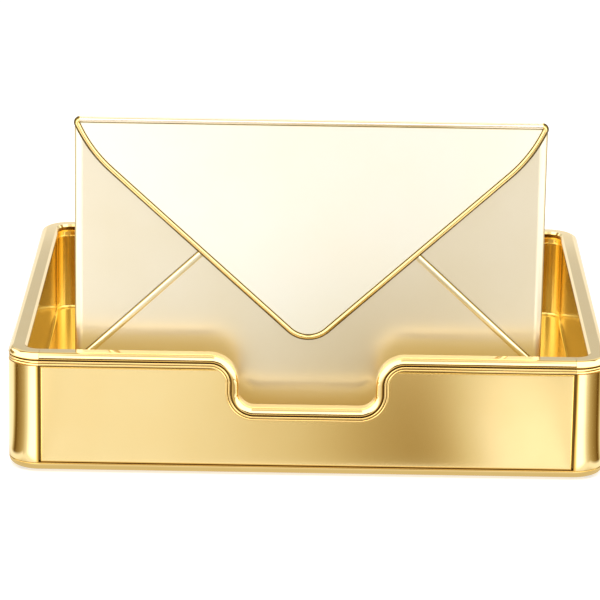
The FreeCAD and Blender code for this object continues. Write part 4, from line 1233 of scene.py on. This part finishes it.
def apron_level(x, y, beside, away):
    """The level further out, which the envelope sees."""
    dip = np.interp(x, DIP_X, DIP_SHARE) * np.interp(away, DIP_AWAY, [1, 0])
    front = np.interp(x, APRON_X, APRON_SHARE) * APRON * (1 - dip)
    right = np.interp(away, RIGHT_AWAY, [RIGHT_APRON, SIDE_APRON])
    side = np.where(x > 0, right, SIDE_APRON)
    apron = front + (side - front) * np.interp(beside, SIDE_BESIDE, [0, 1])
    bearing = np.degrees(np.arctan2(y - BOTTOM_FACE, np.abs(x) - ENVELOPE_HALF))
    rear = np.interp(bearing, REAR_BEARING, [0, 1]) * (np.abs(x) > ENVELOPE_HALF)
    apron = apron + (1 - apron) * rear
    lane = (y > HALF_Y) & (np.abs(np.abs(x) - LANE_X) < LANE_HALF)
    apron = np.where(lane, LANE_LEVEL, apron)
    return apron + (1 - apron) * np.interp(away, FAR_AWAY, [0, 1])


def make_floor_card():
    """The card on the floor, its mesh fine near the tray, with the tray's level and the apron's."""
    fine = np.arange(-FINE_REACH, FINE_REACH + FINE_STEP, FINE_STEP)
    coarse = np.arange(COARSE_START, COARSE_REACH + COARSE_STEP, COARSE_STEP)
    steps = np.concatenate([-coarse[::-1], fine, coarse]).astype(float)
    x, y = np.meshgrid(steps, steps)
    beside = np.clip(np.abs(x) - HALF_X, 0, None)
    away = np.hypot(beside, np.clip(np.abs(y) - HALF_Y, 0, None))
    share = np.interp(away, [FLAG_REACH, FLAG_REACH + FLAG_FADE], [0, 1])
    level = tray_level(x, y, away) * (1 - share) + apron_level(x, y, beside, away) * share
    add_card("floor_cards", np.stack([x, y, np.full(x.shape, CARD_LIFT)], axis=-1), level, TAN)


def make_wall_cards():
    """Four walls of card, each with its own levels by height.

    The front is white but for a low dark field in the middle.  The sides are white in front
    and have a dark band below a paler one behind.  The back runs from a bright horizon through
    a grey band to a paler one.
    """
    # How white each wall is at the places across it.
    middle = np.array([1.0, 1.0, 0, 0, 0, 1.0, 1.0])
    ahead = np.array([1.0, 1.0, 1.0, 1.0, 0.3, 0, 0])
    low_front = np.array([[0.13], [0.13], [WHITE], [WHITE]])
    sides = np.array([[0.35], [0.35], [2.2], [2.2]])
    front = low_front + (WHITE - low_front) * middle
    back = np.array([[1.05], [1.05], [0.66], [0.66], [0.9], [0.9]])
    left = sides + (WHITE - sides) * ahead
    right = sides + (WHITE - sides) * ahead[::-1]
    # Each wall is given by its way out, its heights, its levels and its board.
    across = [-WALL_AWAY, -WALL_TURN, -270, 0, 270, WALL_TURN, WALL_AWAY]
    for name, (i, j), heights, level, board in (
            ("front_card", (0, -1), [0, 420, 500, WALL_HIGH], front, TAN),
            ("back_card", (0, 1), [0, 380, 400, 760, 860, WALL_HIGH], back, GREY),
            ("left_card", (-1, 0), [0, 560, 600, WALL_HIGH], left, TAN),
            ("right_card", (1, 0), [0, 560, 600, WALL_HIGH], right, TAN)):
        along, up = np.meshgrid(across, heights)
        x = i * WALL_AWAY + j * along
        y = j * WALL_AWAY - i * along
        add_card(name, np.stack([x, y, up], axis=-1), level, board)


def make_ceiling_card():
    """The ceiling, from front to back: a bright edge, pale bands, a dark one behind the tray
    and a pale one.  Its sides are white as far back as the walls are.
    """
    edge = 300
    across = [-WALL_AWAY, -edge, -220, 220, edge, WALL_AWAY]
    places = [-WALL_AWAY, -1180, -1120, -300, -180, 200, 330, 420, 1000, 1080, WALL_AWAY]
    bands = np.array([2.3, 2.2, 0.85, 0.85, 1.15, 1.15, 0.8, 0.47, 0.47, 0.9, 0.9])
    x, y = np.meshgrid(across, places)
    level = np.where((np.abs(x) >= edge) & (y < WALL_TURN), WHITE, bands[:, None])
    add_card("ceiling_card", np.stack([x, y, np.full(x.shape, WALL_HIGH)], axis=-1), level, TAN)


def make_strip_card():
    """A glowing strip of amber card behind the front wall, its top along the notch, that the foot
    of the envelope sees.
    """
    path = notch_path()
    rise = RIM_HEIGHT / 2 - STRIP_DROP
    x = path[:, 0] - path[:, 3] * rise
    top = path[:, 1] + path[:, 2] * rise
    low = LINER_LOW[2] + STRIP_FOOT
    up = low + (top - low) * np.array([[0], [0.7], [0.9], [1.0]])
    grid = np.stack([np.broadcast_to(x, up.shape), np.full(up.shape, STRIP_NEAR - HALF_Y), up],
                    axis=-1)
    add_card("strip_card", grid, np.array([[0.35], [0.62], [0.66], [0.72]]), AMBER)


def make_camera():
    """A long lens in front of the tray, a little above it, looking down."""
    place = np.array([-1.0, -2074.0, 661.2]) * MM
    pitch = math.radians(16.14)
    yaw = math.radians(-0.11)
    roll = math.radians(0.88)
    ahead = np.array([math.sin(yaw) * math.cos(pitch), math.cos(yaw) * math.cos(pitch),
                      -math.sin(pitch)])
    right = np.array([math.cos(yaw), -math.sin(yaw), 0.0])
    up = np.cross(right, ahead)
    matrix = np.eye(4)
    matrix[:3, 0] = math.cos(roll) * right + math.sin(roll) * up
    matrix[:3, 1] = math.cos(roll) * up - math.sin(roll) * right
    matrix[:3, 2] = -ahead
    matrix[:3, 3] = place
    lens = bpy.data.cameras.new("camera")
    lens.lens = 220.44
    lens.sensor_width = 36.0
    camera = bpy.data.objects.new("camera", lens)
    camera.matrix_world = Matrix(matrix.tolist())
    bpy.context.scene.collection.objects.link(camera)
    bpy.context.scene.camera = camera


make_floor()
make_world()
make_floor_card()
make_wall_cards()
make_ceiling_card()
make_strip_card()
make_softbox()
make_camera()
bpy.context.scene.view_settings.view_transform = "Standard"
